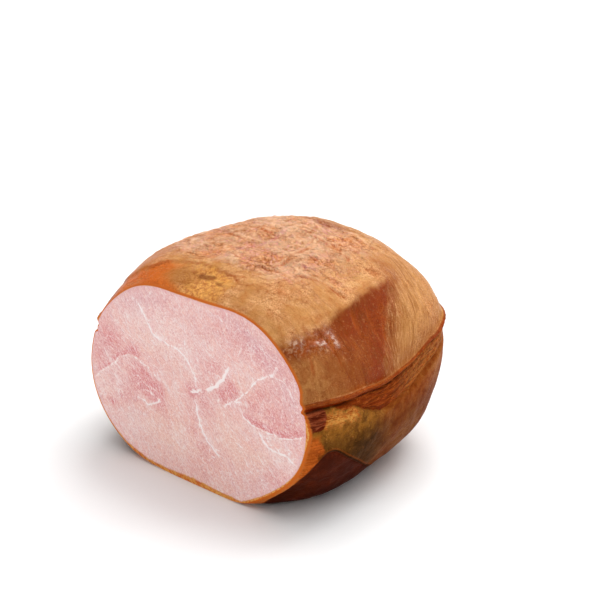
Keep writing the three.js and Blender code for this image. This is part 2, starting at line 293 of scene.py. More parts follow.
# Folds of the skin, as points across or along and then up or along, with height and width
SIDE_FOLDS = (
    (((5, 112.5), (15, 117), (27, 121)), 0.7, 1.5),
    (((27, 121), (29, 115), (30, 108), (31, 101)), 0.9, 1.4),
    (((14, 113), (12, 106), (11, 99)), 0.7, 1.3),
    (((46, 121), (45.5, 117.5), (46, 112), (47, 106)), 0.8, 1.3),
    (((60, 125), (57.5, 119), (58, 112), (60, 104)), 0.9, 1.5),
    (((72, 124), (70, 116), (70, 108), (73, 98)), 0.6, 1.6),
    (((86, 124), (82, 116), (78, 108), (76, 98)), 0.7, 1.6),
)
TOP_FOLDS = (
    (((5, 33), (12, 41), (22, 44), (34.5, 46), (49.5, 54), (63, 59), (72, 60), (80.5, 63)), 1.3, 1.6),
    (((28, 48), (30, 58), (28, 73), (29.5, 88)), 1.1, 1.5),
    (((-34, 52), (-16, 49), (-2, 47), (8, 43)), 0.8, 1.4),
    (((36, 74), (48, 80), (60, 79)), 1.0, 1.4),
    (((-30, 74), (-12, 70), (2, 66)), 0.8, 1.5),
    (((6, 100), (24, 104), (40, 101), (52, 104)), 1.0, 1.5),
    (((-20, 92), (-6, 88), (10, 90)), 0.8, 1.4),
    (((40, 92), (52, 96), (60, 92)), 0.8, 1.4),
    (((12, 66), (20, 62), (27, 64)), 0.7, 1.3),
)
TOP_VEINS = (
    ((-10, 54), (-3, 61), (3, 70), (4, 77), (2, 90), (0, 101)),
    ((38, 62), (46, 66), (54, 66)),
)

# Moist glossy patches high on the right side, which also get a painted glint: the middle's depth and
# degrees, and reach along and over
GLOSS_AND_GLINT = ((10, 22, 7, 3.5), (24, 19.5, 5, 3), (33, 20, 2.5, 4))


def srgb(red, green, blue):
    """A colour given as 0 to 255 screen values, in the linear values that shaders take."""
    shares = [value / 255 for value in (red, green, blue)]
    return tuple(s / 12.92 if s <= 0.04045 else ((s + 0.055) / 1.055) ** 2.4 for s in shares)


# Shaping helpers

def smooth(start, end, value):
    """A smooth step from 0 at the start to 1 at the end, which may lie either way."""
    t = np.clip((value - start) / (end - start), 0.0, 1.0)
    return t * t * (3.0 - 2.0 * t)


def bell(distance, width):
    return np.exp(-((distance / width) ** 2))


def eased(points, at):
    """A smooth curve through points of place and value, read at each of the places given."""
    places, values = np.array(points, dtype=float).T
    at = np.clip(at, places[0], places[-1])
    after = np.clip(np.searchsorted(places, at), 1, len(places) - 1)
    rise = values[after] - values[after - 1]
    return values[after - 1] + rise * smooth(places[after - 1], places[after], at)


def flowing(points, at, spread=4.0):
    """A line through points of place and value, with its corners softened."""
    places, values = zip(*points)
    shifts = np.linspace(-spread, spread, 7)
    return sum(np.interp(at + shift, places, values) for shift in shifts) / len(shifts)


def lattice_gradients():
    """Random ways to slope at the corners of the noise's lattice."""
    rng = np.random.default_rng(11)
    ways = rng.normal(size=(256, 3))
    return ways / np.linalg.norm(ways, axis=1, keepdims=True)


GRADIENTS = lattice_gradients()


def gradient_noise(points, seed=0):
    """Smooth noise of about -1 to 1 at each row of an n by 3 array."""
    cell = np.floor(points).astype(np.int64)
    inside = points - cell
    fade = inside ** 3 * (inside * (inside * 6 - 15) + 10)
    total = np.zeros(len(points))
    for corner in itertools.product((0, 1), repeat=3):
        at = cell + np.array(corner)
        mixed = at[:, 0] * 73856093 ^ at[:, 1] * 19349663 ^ at[:, 2] * 83492791 ^ seed * 2654435
        mixed = (mixed ^ (mixed >> 13)) * 1274126177
        gradient = GRADIENTS[(mixed >> 8) & 255]
        weight = np.prod(np.where(corner, fade, 1 - fade), axis=1)
        total += weight * np.sum(gradient * (inside - np.array(corner)), axis=1)
    return total * 1.7


def rough_noise(points, octaves=3, seed=0):
    """Noise with finer noise on it, each octave half as high and twice as fine."""
    total = np.zeros(len(points))
    for octave in range(octaves):
        total += gradient_noise(points * 2 ** octave, seed + octave) / 2 ** octave
    return total


def ridged_noise(points, octaves=3, seed=0):
    """Narrow ridges, near 1 on the ridge and 0 between."""
    return 1.0 - np.abs(rough_noise(points, octaves, seed))


def columns_of(*parts):
    """The parts side by side, one row for each point."""
    return np.stack(np.broadcast_arrays(*parts), axis=-1)


def on_plane(points):
    """Points of a plane with a third coordinate of 0."""
    return columns_of(points[:, 0], points[:, 1], 0.0)


# The body without its relief

def half_size(way, depth):
    """How far the body reaches one way at each depth."""
    reach, widest_at, squareness = way
    t = np.clip(np.abs((depth - widest_at) / (LENGTH - widest_at)), 0.0, 1.0)
    return reach * (1 - t ** squareness) ** (1 / squareness)


def section_radius(depth, turn):
    cosine = np.cos(turn)
    sine = np.sin(turn)
    across = np.where(cosine > 0, half_size(RIGHT, depth), half_size(LEFT, depth)) + 1e-6
    upright = np.where(sine > 0, half_size(UP, depth), half_size(DOWN, depth)) + 1e-6
    lower = np.where(cosine > 0, LOWER_RIGHT_FULLNESS, LOWER_LEFT_FULLNESS)
    fullness = np.where(sine > 0, UPPER_FULLNESS, lower)
    total = np.abs(cosine / across) ** fullness + np.abs(sine / upright) ** fullness
    wave = sum(c * np.cos(n * turn) + s * np.sin(n * turn) for n, c, s in OUTLINE_WAVES)
    return total ** (-1 / fullness) * (1 + wave * (1 - depth / LENGTH))


def body_point(depth, turn):
    radius = section_radius(depth, turn)
    return columns_of(radius * np.cos(turn), depth, SEAM_HEIGHT + radius * np.sin(turn))


def body_normal(depth, turn):
    step = 0.01
    nearer = np.minimum(depth, LENGTH - 2 * step)
    here = body_point(nearer, turn)
    onward = body_point(nearer + step, turn) - here
    round_it = body_point(nearer, turn + step) - here
    normal = np.cross(onward, round_it)
    return normal / np.linalg.norm(normal, axis=1, keepdims=True)


def settled(height):
    """Heights pressed flat on the floor, with a rounded edge to the flat."""
    rounded = BASE_ROUNDING * ((height + BASE_ROUNDING) / (2 * BASE_ROUNDING)) ** 2
    pressed = np.where(height < -BASE_ROUNDING, 0.0, rounded)
    return np.where(height > BASE_ROUNDING, height, pressed)


def leaned(depth, height):
    """How far the cut's lean moves a point along Y."""
    return CUT_LEAN * (1 - np.clip(depth / LEAN_FADES_BY, 0, 1)) ** 2 * (height - SEAM_HEIGHT)


class Place:
    """Where each point of the skin lies: round the body, along it, and from its seams."""

    def __init__(self, depth, turn):
        self.depth = depth
        self.turn = turn
        self.degrees = np.degrees(turn)
        self.radius = section_radius(depth, turn)
        self.body = body_point(depth, turn)
        self.x, _, self.height = self.body.T
        self.right = np.cos(turn) > 0
        left_angle = np.where(turn > 0, math.pi - turn, -math.pi - turn)
        self.angle = np.where(self.right, turn, left_angle)
        self.side_degrees = np.degrees(self.angle)
        seam = np.where(self.right, eased(RIGHT_SEAM_DEGREES, depth), eased(LEFT_SEAM_DEGREES, depth))
        self.above = self.radius * (self.angle - np.radians(seam))
        self.strip_edge = np.where(
            self.right, flowing(RIGHT_STRIP_EDGE, depth), flowing(LEFT_STRIP_EDGE, depth))
        self.flap_gap = self.gap_under_flap()
        self.ledge_gap = depth - eased(LEDGE_DEPTH, self.degrees)
        self.ledge_within = smooth(48, 76, self.degrees) * smooth(172, 151, self.degrees)
        self.edge_gap = self.radius * (self.angle - np.radians(flowing(SHOULDER_EDGE, depth)))
        self.end_gap = self.gap_past_end_crease()
        self.streak = self.streak_coordinate()
        self.folds = fold_marks(self)

    def gap_under_flap(self):
        """Millimetres inside the edge of the flap's opening, negative outside it."""
        front = 2.4 + 5.1 * smooth(26, 52, self.height)
        below = (flowing(FLAP_EDGE_HEIGHT, self.depth) - self.height) * 0.8
        return np.where(self.right, np.minimum(below, self.depth - front), -30.0)

    def gap_past_end_crease(self):
        """Millimetres past the crease that parts the side from the end."""
        crease = eased([(angle, depth) for depth, angle in END_CREASE_DEGREES], self.side_degrees)
        over = np.clip(self.side_degrees - 29, 0, 40)
        return self.depth - crease - over * 0.25

    def streak_coordinate(self):
        """Constant along the skin's long streaks, which lean back towards the end."""
        lean = STREAK_LEAN * smooth(60, 100, self.depth) * np.where(self.right, 1.0, STREAK_LEAN_LEFT)
        risen = 1 - np.exp(-np.maximum(self.above, -10) / STREAK_LEAN_HEIGHT)
        return self.depth - lean * STREAK_LEAN_HEIGHT * risen

    def noise(self, feature, octaves, seed):
        """Noise with the same feature size every way."""
        return rough_noise(self.body / feature, octaves, seed)

    def streak_points(self, across, along):
        """Points for noise that runs in long streaks round the section."""
        return columns_of(self.streak / across, self.x / along, self.height / along)

    def streaks(self, across, along, seed):
        return rough_noise(self.streak_points(across, along), 2, seed)

    def beside_seam(self, across=1.0, along=1.0):
        """Points for noise that runs beside the seam, apart on the two sides."""
        return columns_of(self.above / across, self.depth / along, np.where(self.right, 0.0, 50.0))

    def lengthwise(self, across, along, seed):
        return rough_noise(self.beside_seam(across, along), 2, seed)


# Relief of the skin, in millimetres outward

def seam_relief(place):
    frayed = 1 + 0.35 * place.lengthwise(2.5, 3.5, seed=4)
    lip = eased(LIP_HEIGHT, place.depth) * bell(place.above, LIP_WIDTH) * frayed
    groove = GROOVE_DEPTH * bell(place.above + GROOVE_BELOW_LIP, GROOVE_WIDTH)
    return lip - groove * smooth(LENGTH, LENGTH - 20, place.depth)


def strip_relief(place):
    edge = place.strip_edge
    fade = smooth(LENGTH - 4, LENGTH - 30, place.depth) * smooth(1, 5, edge)
    inside = smooth(GROOVE_BELOW_LIP, GROOVE_BELOW_LIP + 1.5, -place.above)
    within = inside * (1 - smooth(edge - 1, edge + 1.5, -place.above))
    crease = STRIP_CREASE_DEPTH * bell(place.above + edge, STRIP_CREASE_WIDTH)
    folds = 0.45 * within * place.lengthwise(2.6, 17, seed=8)
    return fade * (folds - STRIP_DEPTH * within - crease)


def ribs_patch(place):
    """Where the ribbed meat is bare, with a rounded end away from the cut."""
    rounded = RIBS_END + 1 - 0.06 * (place.above + (RIBS_TOP + RIBS_BOTTOM) / 2) ** 2
    near_cut = smooth(rounded + 1.5, rounded - 1.5, place.depth)
    below_seam = smooth(RIBS_TOP, RIBS_TOP + 2, -place.above)
    return place.right * near_cut * below_seam * smooth(RIBS_BOTTOM + 2, RIBS_BOTTOM - 1, -place.above)


def rib_relief(place):
    wave = np.cos(2 * math.pi * (place.above + 0.25 * place.depth) / RIB_PITCH)
    return ribs_patch(place) * (RIB_HEIGHT * wave - RIBS_SUNK)


def flap_relief(place):
    sunk = smooth(0, FLAP_EDGE_WIDTH, place.flap_gap)
    edge = 0.5 * bell(place.flap_gap + 1.2, 1.4) * place.right
    return (edge - FLAP_THICKNESS * sunk) * smooth(3, 18, place.height)


def side_relief(place):
    off_shoulder = place.radius * (place.angle - math.radians(SHOULDER_DEGREES))
    off_flat = place.radius * (place.angle - math.radians(FLAT_SIDE_DEGREES))
    off_crease = place.radius * (place.angle - np.radians(eased(END_CREASE_DEGREES, place.depth)))
    off_edge = place.edge_gap - 1.5 + 0.8 * place.noise(9, 2, 33)
    along = smooth(30, 55, place.depth) * smooth(120, 104, place.depth)
    flat_along = smooth(30, 50, place.depth) * smooth(95, 70, place.depth)
    creased = smooth(60, 68, place.depth) * smooth(112, 104, place.depth)
    shoulder = SHOULDER_HEIGHT * bell(off_shoulder, SHOULDER_WIDTH) * along
    edge = EDGE_HEIGHT * bell(off_edge, EDGE_WIDTH) * along
    flat = FLAT_SIDE_DEPTH * bell(off_flat, FLAT_SIDE_WIDTH) * flat_along
    crease = END_CREASE_DEPTH * creased * bell(off_crease * END_CREASE_SLANT, END_CREASE_WIDTH)
    return place.right * (shoulder + edge - flat - crease)


def corner_relief(place):
    total = np.zeros(len(place.depth))
    for height, degrees, width, fades_by in CORNER:
        off = place.radius * (place.angle - math.radians(degrees))
        total += height * bell(off, width) * smooth(fades_by, 0, place.depth)
    return place.right * total


def ledge_relief(place):
    risen = smooth(-LEDGE_WIDTH, LEDGE_WIDTH, place.ledge_gap + 0.8 * place.noise(7, 2, 31))
    return LEDGE_STEP * place.ledge_within * risen * smooth(40, 0, place.ledge_gap)


def swell_relief(place):
    total = np.zeros(len(place.depth))
    for height, waves, shift in SWELLS:
        phase = sum(place.body[:, axis] / wave for axis, wave in enumerate(waves))
        total += height * np.sin(2 * math.pi * phase + shift)
    return total * smooth(0, 30, place.depth) * smooth(LENGTH, LENGTH - 60, place.depth)


def gather_relief(place):
    fold = np.cos(GATHERS * place.turn + 2 * np.sin(3 * place.turn))
    return GATHER_HEIGHT * fold * smooth(138, 165, place.depth) * smooth(LENGTH, LENGTH - 3, place.depth)


def flaky_part(place):
    """The middle of the top, where the skin is wrinkled and flaky."""
    there = smooth(26, 42, place.depth) * smooth(34, 60, place.degrees) * smooth(160, 130, place.degrees)
    return there * smooth(160, 125, place.depth)


def flake_noise(place):
    warp = 6 * place.noise(17, 2, 41)
    lines = columns_of((place.x - 0.4 * place.depth) / 24, (place.depth + warp) / 7, place.height / 24)
    return ridged_noise(lines, 3, 43)


def flake_mask(place):
    """Where the flaky wrinkles of the top have their thin raised edges."""
    return flaky_part(place) * smooth(0.86, 0.98, flake_noise(place))


def top_wrinkles(place):
    """The flaky wrinkles on the middle of the top."""
    flakes = flake_noise(place) ** 3
    return flaky_part(place) * (0.9 * flakes - 0.35 + 0.35 * place.noise(9, 3, 45))


def side_folds(place):
    """Folds that run down the side and over the end."""
    upper = smooth(3, 9, place.above) * smooth(75, 40, place.side_degrees)
    there = upper * smooth(20, 60, place.depth)
    folds = ridged_noise(place.streak_points(9, 55), 2, 51)
    return there * (0.3 * folds ** 3 - 0.08)


def fold_gap(places, line):
    """Signed distance of each place to a fold's line, positive on its left, and its taper."""
    line = smooth_line(line, 1.0)
    off = places[:, None] - line[None]
    distance = np.linalg.norm(off, axis=2)
    nearest = distance.argmin(axis=1)
    rows = np.arange(len(places))
    along = np.gradient(line, axis=0)[nearest]
    side = np.sign(along[:, 0] * off[rows, nearest, 1] - along[:, 1] * off[rows, nearest, 0])
    ends = np.minimum(nearest, len(line) - 1 - nearest).astype(float)
    return distance[rows, nearest] * np.where(side == 0, 1, side), smooth(-0.5, 5, ends)


def fold_marks(place):
    """The crest and the valley of each named fold, as masks for painted highlight and painted shade, and
    their relief.
    """
    crest = np.zeros(len(place.depth))
    valley = np.zeros(len(place.depth))
    relief = np.zeros(len(place.depth))
    side_chart = columns_of(place.depth, place.height)
    top_chart = columns_of(place.x, place.depth)
    on_side = place.right & (place.side_degrees < 42) & (place.above > 4)
    on_top = (place.degrees > 30) & (place.degrees < 150)
    for folds, chart, there in ((SIDE_FOLDS, side_chart, on_side), (TOP_FOLDS, top_chart, on_top)):
        index = np.flatnonzero(there)
        for line, height, width in folds:
            gap, taper = fold_gap(chart[index], line)
            gap = gap + 1.6 * rough_noise(on_plane(chart[index] / 7), 3, 47)
            patchy = smooth(-0.5, 0.2, rough_noise(on_plane(chart[index] / 11), 2, 48))
            taper = taper * (0.3 + 0.7 * patchy)
            ridge = taper * bell(gap - 0.4 * width, 0.5 * width)
            trough = taper * bell(gap + 0.7 * width, 0.7 * width)
            relief[index] += height * (ridge - 0.9 * trough)
            crest[index] = np.maximum(crest[index], ridge)
            valley[index] = np.maximum(valley[index], trough)
    return crest, valley, relief


def vein_mask(place):
    """The broad veins that show through the skin of the top."""
    mask = np.zeros(len(place.depth))
    index = np.flatnonzero((place.degrees > 30) & (place.degrees < 150))
    chart = columns_of(place.x, place.depth)[index]
    for line in TOP_VEINS:
        gap, taper = fold_gap(chart, line)
        gap = gap + 1.2 * rough_noise(on_plane(chart / 7), 2, 49)
        mask[index] = np.maximum(mask[index], taper * bell(gap, 1.5))
    return mask


def named_folds(place):
    return place.folds[2]


def fine_relief(place):
    calm = smooth(0.5, 3, place.depth)
    soft = 0.35 * place.noise(18, 2, 61) + 0.14 * place.noise(5, 2, 63)
    fibres = 0.05 * place.streaks(1.8, 20, 65)
    return calm * (soft + fibres)


def rim_relief(place):
    """The small rounding where the skin turns in to the cut."""
    off = np.clip(1 - place.depth / RIM_ROUNDING, 0, 1)
    return -RIM_ROUNDING * (1 - np.sqrt(1 - off ** 2))


RELIEFS = (
    seam_relief, strip_relief, rib_relief, flap_relief, side_relief, corner_relief, ledge_relief,
    swell_relief, gather_relief, top_wrinkles, side_folds, named_folds, fine_relief, rim_relief,
)


def skin_points(place):
    outward = body_normal(place.depth, place.turn)
    outward[:, 1] *= smooth(0, 6, place.depth)
    points = place.body + outward * sum(relief(place) for relief in RELIEFS)[:, None]
    points[:, 2] = settled(points[:, 2])
    points[:, 1] += leaned(place.depth, points[:, 2])
    return points


# The grid of the skin

def row_depths():
    """Depths of the rows, closer together near the cut, by length along the skin."""
    table = LENGTH * (1 - np.linspace(1, 0, 4001) ** 3)
    mean = sum(half_size(way, table) for way in (RIGHT, LEFT, UP, DOWN)) / 4
    lengths = np.concatenate(([0], np.cumsum(np.hypot(np.diff(table), np.diff(mean)))))
    share = np.arange(ROWS) / ROWS
    growth = BACK_ROW_SPACING / FRONT_ROW_SPACING
    along = (share + (growth - 1) / 2 * share ** 2) / (1 + (growth - 1) / 2)
    depths = np.interp(along * lengths[-1], lengths, table)
    rounding = np.array([0.0, 0.08, 0.3, 0.62]) * RIM_ROUNDING
    return np.concatenate((rounding, depths[depths > 0.8 * RIM_ROUNDING]))


def column_turns(depth):
    """Turns round the section at one depth, close together by the two seams."""
    right = math.radians(float(eased(RIGHT_SEAM_DEGREES, depth)))
    left = math.pi - math.radians(float(eased(LEFT_SEAM_DEGREES, depth)))
    band = math.radians(SEAM_BAND_DEGREES)
    near = int(COLUMNS * SEAM_COLUMN_SHARE / 2)
    far = COLUMNS // 2 - near
    parts = []
    for start, end, count in (
        (right - band, right + band, near), (right + band, left - band, far),
        (left - band, left + band, near), (left + band, right - band + 2 * math.pi, far),
    ):
        parts.append(np.linspace(start, end, count, endpoint=False))
    turns = np.concatenate(parts)
    return np.arctan2(np.sin(turns), np.cos(turns))


def skin_grid():
    depths = row_depths()
    turns = np.array([column_turns(depth) for depth in depths])
    return Place(np.repeat(depths, turns.shape[1]), turns.ravel()), len(depths), turns.shape[1]


# The cut face

def smooth_line(points, spacing):
    """Points at even spacing along a smooth curve through the given ones."""
    points = np.array(points, dtype=float)
    padded = np.vstack((2 * points[0] - points[1], points, 2 * points[-1] - points[-2]))
    samples = []
    for i in range(1, len(padded) - 2):
        before, start, end, after = padded[i - 1:i + 3]
        for t in np.linspace(0, 1, 12, endpoint=False):
            samples.append(0.5 * (
                2 * start + (end - before) * t + (2 * before - 5 * start + 4 * end - after) * t ** 2
                + (3 * start - before - 3 * end + after) * t ** 3))
    samples = np.array(samples + [points[-1]])
    lengths = np.concatenate(([0], np.cumsum(np.linalg.norm(np.diff(samples, axis=0), axis=1))))
    at = np.arange(0, lengths[-1], spacing)
    return columns_of(np.interp(at, lengths, samples[:, 0]), np.interp(at, lengths, samples[:, 1]))


def wandering(line, amount=0.7):
    """The line with small bends of its own, as fat between muscles has."""
    across = amount * rough_noise(on_plane(line / 5), 2, 71)
    upward = amount * rough_noise(on_plane(line / 5), 2, 73)
    return line + columns_of(across, upward)


def twigs(line, width, strength, rng):
    """Short thin side branches along a fat seam, as points with width and strength."""
    branches = []
    along = np.gradient(line, axis=0)
    for start in range(rng.integers(3, 7), len(line) - 3, 7):
        turn = rng.choice((-1, 1)) * rng.uniform(0.5, 1.2)
        ahead = along[start] / np.linalg.norm(along[start]) * rng.choice((-1, 1), p=(0.3, 0.7))
        way = np.array((
            ahead[0] * math.cos(turn) - ahead[1] * math.sin(turn),
            ahead[0] * math.sin(turn) + ahead[1] * math.cos(turn)))
        bend = np.array((-way[1], way[0])) * rng.uniform(-0.5, 0.5)
        reach = rng.uniform(2.5, 8)
        points = [line[start], line[start] + reach * (way + bend) / 2, line[start] + reach * way]
        branches.append((points, min(0.5, 0.7 * width), 0.85 * strength))
    return branches


def fat_seams():
    """The named seams and the branches that grow from the longer ones."""
    rng = np.random.default_rng(23)
    seams = list(FAT_SEAMS)
    for points, width, strength in FAT_SEAMS:
        line = smooth_line(points, SEAM_LINE_SPACING)
        if len(line) > 24:
            seams += twigs(line, width, strength, rng)
    return seams


def fat_lines():
    """Each seam and branch as close points, with the width and strength at each of them."""
    lines = []
    for points, width, strength in fat_seams():
        line = wandering(smooth_line(points, SEAM_LINE_SPACING))
        ends = np.arange(len(line)) * SEAM_LINE_SPACING
        taper = smooth(-1, 3, ends) * smooth(-1, 3, ends[::-1])
        beads = 1 + 0.25 * rough_noise(on_plane(line / 3), 2, 75)
        patchy = 0.7 + 0.3 * smooth(-0.6, 0.3, rough_noise(on_plane(line / 6), 2, 77))
        lines.append((line, 0.85 * width * beads * (0.4 + 0.6 * taper), strength * taper * patchy))
    return lines


def cut_layout(rim):
    """Points and triangles of the cut, as across and up, the rim's points first."""
    rng = np.random.default_rng(5)
    rows = []
    for line, width, _ in fat_lines():
        along = np.gradient(line, axis=0)
        across = columns_of(-along[:, 1], along[:, 0]) / np.linalg.norm(along, axis=1, keepdims=True)
        for share in (-1.1, -0.5, 0, 0.5, 1.1):
            rows.append(line + across * (share * width)[:, None])
    fine = np.vstack(rows)
    low, high = rim.min(axis=0), rim.max(axis=0)
    across, up = np.meshgrid(
        np.arange(low[0], high[0], CUT_SPACING), np.arange(low[1], high[1], CUT_SPACING * 0.87))
    across = across + (np.arange(len(across)) % 2)[:, None] * CUT_SPACING / 2
    grid = columns_of(across.ravel(), up.ravel())
    grid += rng.uniform(-0.18, 0.18, grid.shape) * CUT_SPACING
    taken = {tuple(cell) for cell in np.floor(fine / CLEAR_OF_SEAMS).astype(int)}
    free = [tuple(cell) not in taken for cell in np.floor(grid / CLEAR_OF_SEAMS).astype(int)]
    inner = thinned(np.vstack((fine, grid[free])), LEAST_GAP)
    turn = np.arctan2(inner[:, 1], inner[:, 0])
    inset = section_radius(np.zeros(len(inner)), turn) - np.hypot(inner[:, 0], inner[:, 1])
    inner = inner[inside_loop(inner, rim) & (inset > RIM_ROUNDING + 0.5)]
    points = np.vstack((rim, inner))
    loop = [(i, (i + 1) % len(rim)) for i in range(len(rim))]
    found = delaunay_2d_cdt([Vector(point) for point in points], loop, [], 1, 1e-6)
    if len(found[0]) != len(points):
        raise RuntimeError("The cut face's points don't fit its outline")
    return points, np.array(found[2])


def thinned(points, gap):
    """The points without any that lie in the same small cell as an earlier one."""
    cells = np.floor(points / gap).astype(int)
    _, first = np.unique(cells, axis=0, return_index=True)
    return points[np.sort(first)]


def inside_loop(points, loop):
    """Whether each point lies inside a loop round the middle."""
    loop_turn = np.arctan2(loop[:, 1], loop[:, 0])
    order = np.argsort(loop_turn)
    reach = np.interp(
        np.arctan2(points[:, 1], points[:, 0]), loop_turn[order],
        np.hypot(loop[:, 0], loop[:, 1])[order], period=2 * math.pi)
    return np.hypot(points[:, 0], points[:, 1]) < reach - RIM_CLEARANCE


def blobs(points, table):
    """Soft oval patches, as a mask over the cut's points."""
    mask = np.zeros(len(points))
    for (across, up), (along, over), tilt, amount in table:
        angle = math.radians(tilt)
        off = points - np.array((across, up))
        u = (off[:, 0] * math.cos(angle) + off[:, 1] * math.sin(angle)) / along
        v = (off[:, 1] * math.cos(angle) - off[:, 0] * math.sin(angle)) / over
        mask = np.maximum(mask, amount * np.exp(-(u * u + v * v)))
    return mask


def bands(points, table, lines):
    """Bands that start sharply beside a fat seam and fade away from it."""
    mask = np.zeros(len(points))
    for seam, (start, end), (left, right), amount in table:
        line = lines[seam][0]
        order = np.argsort(line[:, 0])
        above = points[:, 1] - np.interp(points[:, 0], line[order, 0], line[order, 1])
        sharp = smooth(start, start + math.copysign(1.0, end), above) * smooth(end, start, above)
        ends = smooth(left - 3, left + 6, points[:, 0]) * smooth(right + 3, right - 6, points[:, 0])
        mask = np.maximum(mask, amount * sharp * ends)
    return mask


def fat_mask(points, lines):
    """How much each point of the cut is fat between muscles, and how near it is to some."""
    mask = np.zeros(len(points))
    halo = np.zeros(len(points))
    for line, width, strength in lines:
        near = np.all((points > line.min(axis=0) - 8) & (points < line.max(axis=0) + 8), axis=1)
        off = np.linalg.norm(points[near][:, None] - line[None], axis=2)
        nearest = off.argmin(axis=1)
        distance = off[np.arange(len(off)), nearest]
        line_mask = strength[nearest] * (1 - smooth(0.35, 1.2, distance / width[nearest]))
        mask[near] = np.maximum(mask[near], line_mask)
        halo[near] = np.maximum(halo[near], strength[nearest] * bell(distance, 2.4))
    return mask, halo


def cut_masks(points):
    turn = np.arctan2(points[:, 1], points[:, 0])
    rim_gap = section_radius(np.zeros(len(points)), turn) - np.hypot(points[:, 0], points[:, 1])
    rim_gap = np.minimum(rim_gap, points[:, 1] + SEAM_HEIGHT)
    lines = fat_lines()
    fat, halo = fat_mask(points, lines)
    wander = on_plane(points / 42)
    along = points @ np.array((0.69, -0.72)) + 3.5 * rough_noise(wander, 2, 81)
    across = points @ np.array((0.72, 0.69)) + 3.5 * rough_noise(wander, 2, 83)
    red = np.maximum(blobs(points, RED_MEAT), bands(points, RED_BANDS, lines))
    pale = np.maximum(blobs(points, PALE_MEAT), bands(points, PALE_BANDS, lines))
    return {
        "rim_gap": rim_gap,
        "crust": rim_gap / eased(CRUST_WIDTH, np.degrees(turn)),
        "fat": fat,
        "halo": halo,
        "red": red * smooth(0.5, 3, rim_gap),
        "pale": pale,
        "peach": blobs(points, PEACH_MEAT),
        "lavender": blobs(points, LAVENDER_MEAT),
        "fibre": columns_of(along, across, 0.0),
    }


def cut_relief(points, masks):
    """How far the cut stands forward: soft muscles with their fat a little sunk."""
    flat = on_plane(points)
    muscles = 0.35 * rough_noise(flat / 34, 2, 91) + 0.1 * rough_noise(flat / 5, 2, 93)
    fibre = masks["fibre"] * np.array((1 / 9, 1 / 1.6, 0))
    grain = 0.06 * rough_noise(fibre, 2, 95)
    calm = smooth(0, 4, masks["rim_gap"] - RIM_ROUNDING)
    return calm * (muscles + grain - 0.15 * masks["fat"])


# Masks of the skin's colours

class Ragged:
    """Noise for the borders of the skin's colours, and places that wander with it."""

    def __init__(self, place):
        self.wander = place.noise(21, 2, 101)
        self.fine = place.noise(6, 3, 103)
        self.drift = place.streaks(5, 40, 105)
        self.degrees = place.degrees + 4 * self.wander + 2 * self.fine
        self.depth = place.depth + 4 * self.wander + 2.5 * self.fine


def top_masks(place, ragged):
    degrees = ragged.degrees
    depth = ragged.depth
    top = smooth(30, 42, degrees) * smooth(170, 150, degrees)
    front_top = smooth(3, -4, place.ledge_gap + 2.5 * ragged.fine) * place.ledge_within * top
    blotch = bell(place.x + 2 + 3 * ragged.fine, 7) * bell(place.depth - 18 + 2 * ragged.fine, 3)
    beside = bell(place.x - 13 + 3 * ragged.fine, 4) * bell(place.depth - 16 + 2 * ragged.fine, 2.5)
    cream = smooth(24, 46, depth) * smooth(28, 62, degrees) * smooth(160, 128, degrees)
    return {
        "cream": cream * smooth(150, 112, depth),
        "rust_edge": smooth(118, 132, depth) * bell(degrees - 84, 22),
        "left_edge": smooth(118, 140, degrees) * smooth(178, 165, degrees) * smooth(70, 30, depth),
        "amber_front": front_top * smooth(104, 128, degrees + 9 * bell(place.depth, 5)),
        "gold_front": front_top * bell(degrees - 86, 22),
        "brown_front": bell(place.x + 18, 15) * bell(place.depth - 12, 9),
        "blotch": blotch + beside,
        "gather": smooth(118, 150, place.depth),
        # The top's fold crests: pale skin with a painted highlight
        "crest": place.folds[0] * top,
        # The side's fold crests, which get a painted highlight
        "side_crest": place.folds[0] * (1 - top),
        # The folds' valleys, which get painted shade
        "valley": place.folds[1],
        "vein": vein_mask(place),
        "flakes": flake_mask(place),
    }


def side_masks(place, ragged):
    edge_width = 5 + 3 * smooth(50, 18, place.depth) + 4 * smooth(90, 120, place.depth)
    edge_gap = place.edge_gap + 2 * ragged.fine + 1.5 * ragged.wander
    on_side = smooth(0.5, 3, place.above) * smooth(edge_width, -edge_width, edge_gap)
    end_width = 6 + 6 * smooth(24, 32, place.side_degrees)
    end_gap = place.end_gap + 1.2 * ragged.drift + 1.2 * ragged.fine
    end = smooth(-end_width, end_width, end_gap) * smooth(1, 4, place.above)
    red = bell(place.edge_gap + 8, 13) * (0.3 + 0.7 * smooth(30, 54, ragged.depth))
    red = np.maximum(red, bell(place.end_gap + 8, 13)) * on_side * (1 - end)
    front = smooth(36, 8, ragged.depth) * smooth(20, 15, place.side_degrees)
    gloss = np.maximum.reduce([
        bell(place.depth - depth, along) * bell(place.side_degrees - degrees, over)
        for depth, degrees, along, over in GLOSS_AND_GLINT])
    return {
        "side": place.right * on_side * (1 - 0.8 * end),
        "left_side": (1 - place.right) * on_side,
        "red_side": place.right * red,
        "side_front": place.right * on_side * front,
        "end": np.where(place.right, end, 0.6 * end) * smooth(44, 28, place.side_degrees),
        "gloss": place.right * gloss,
    }


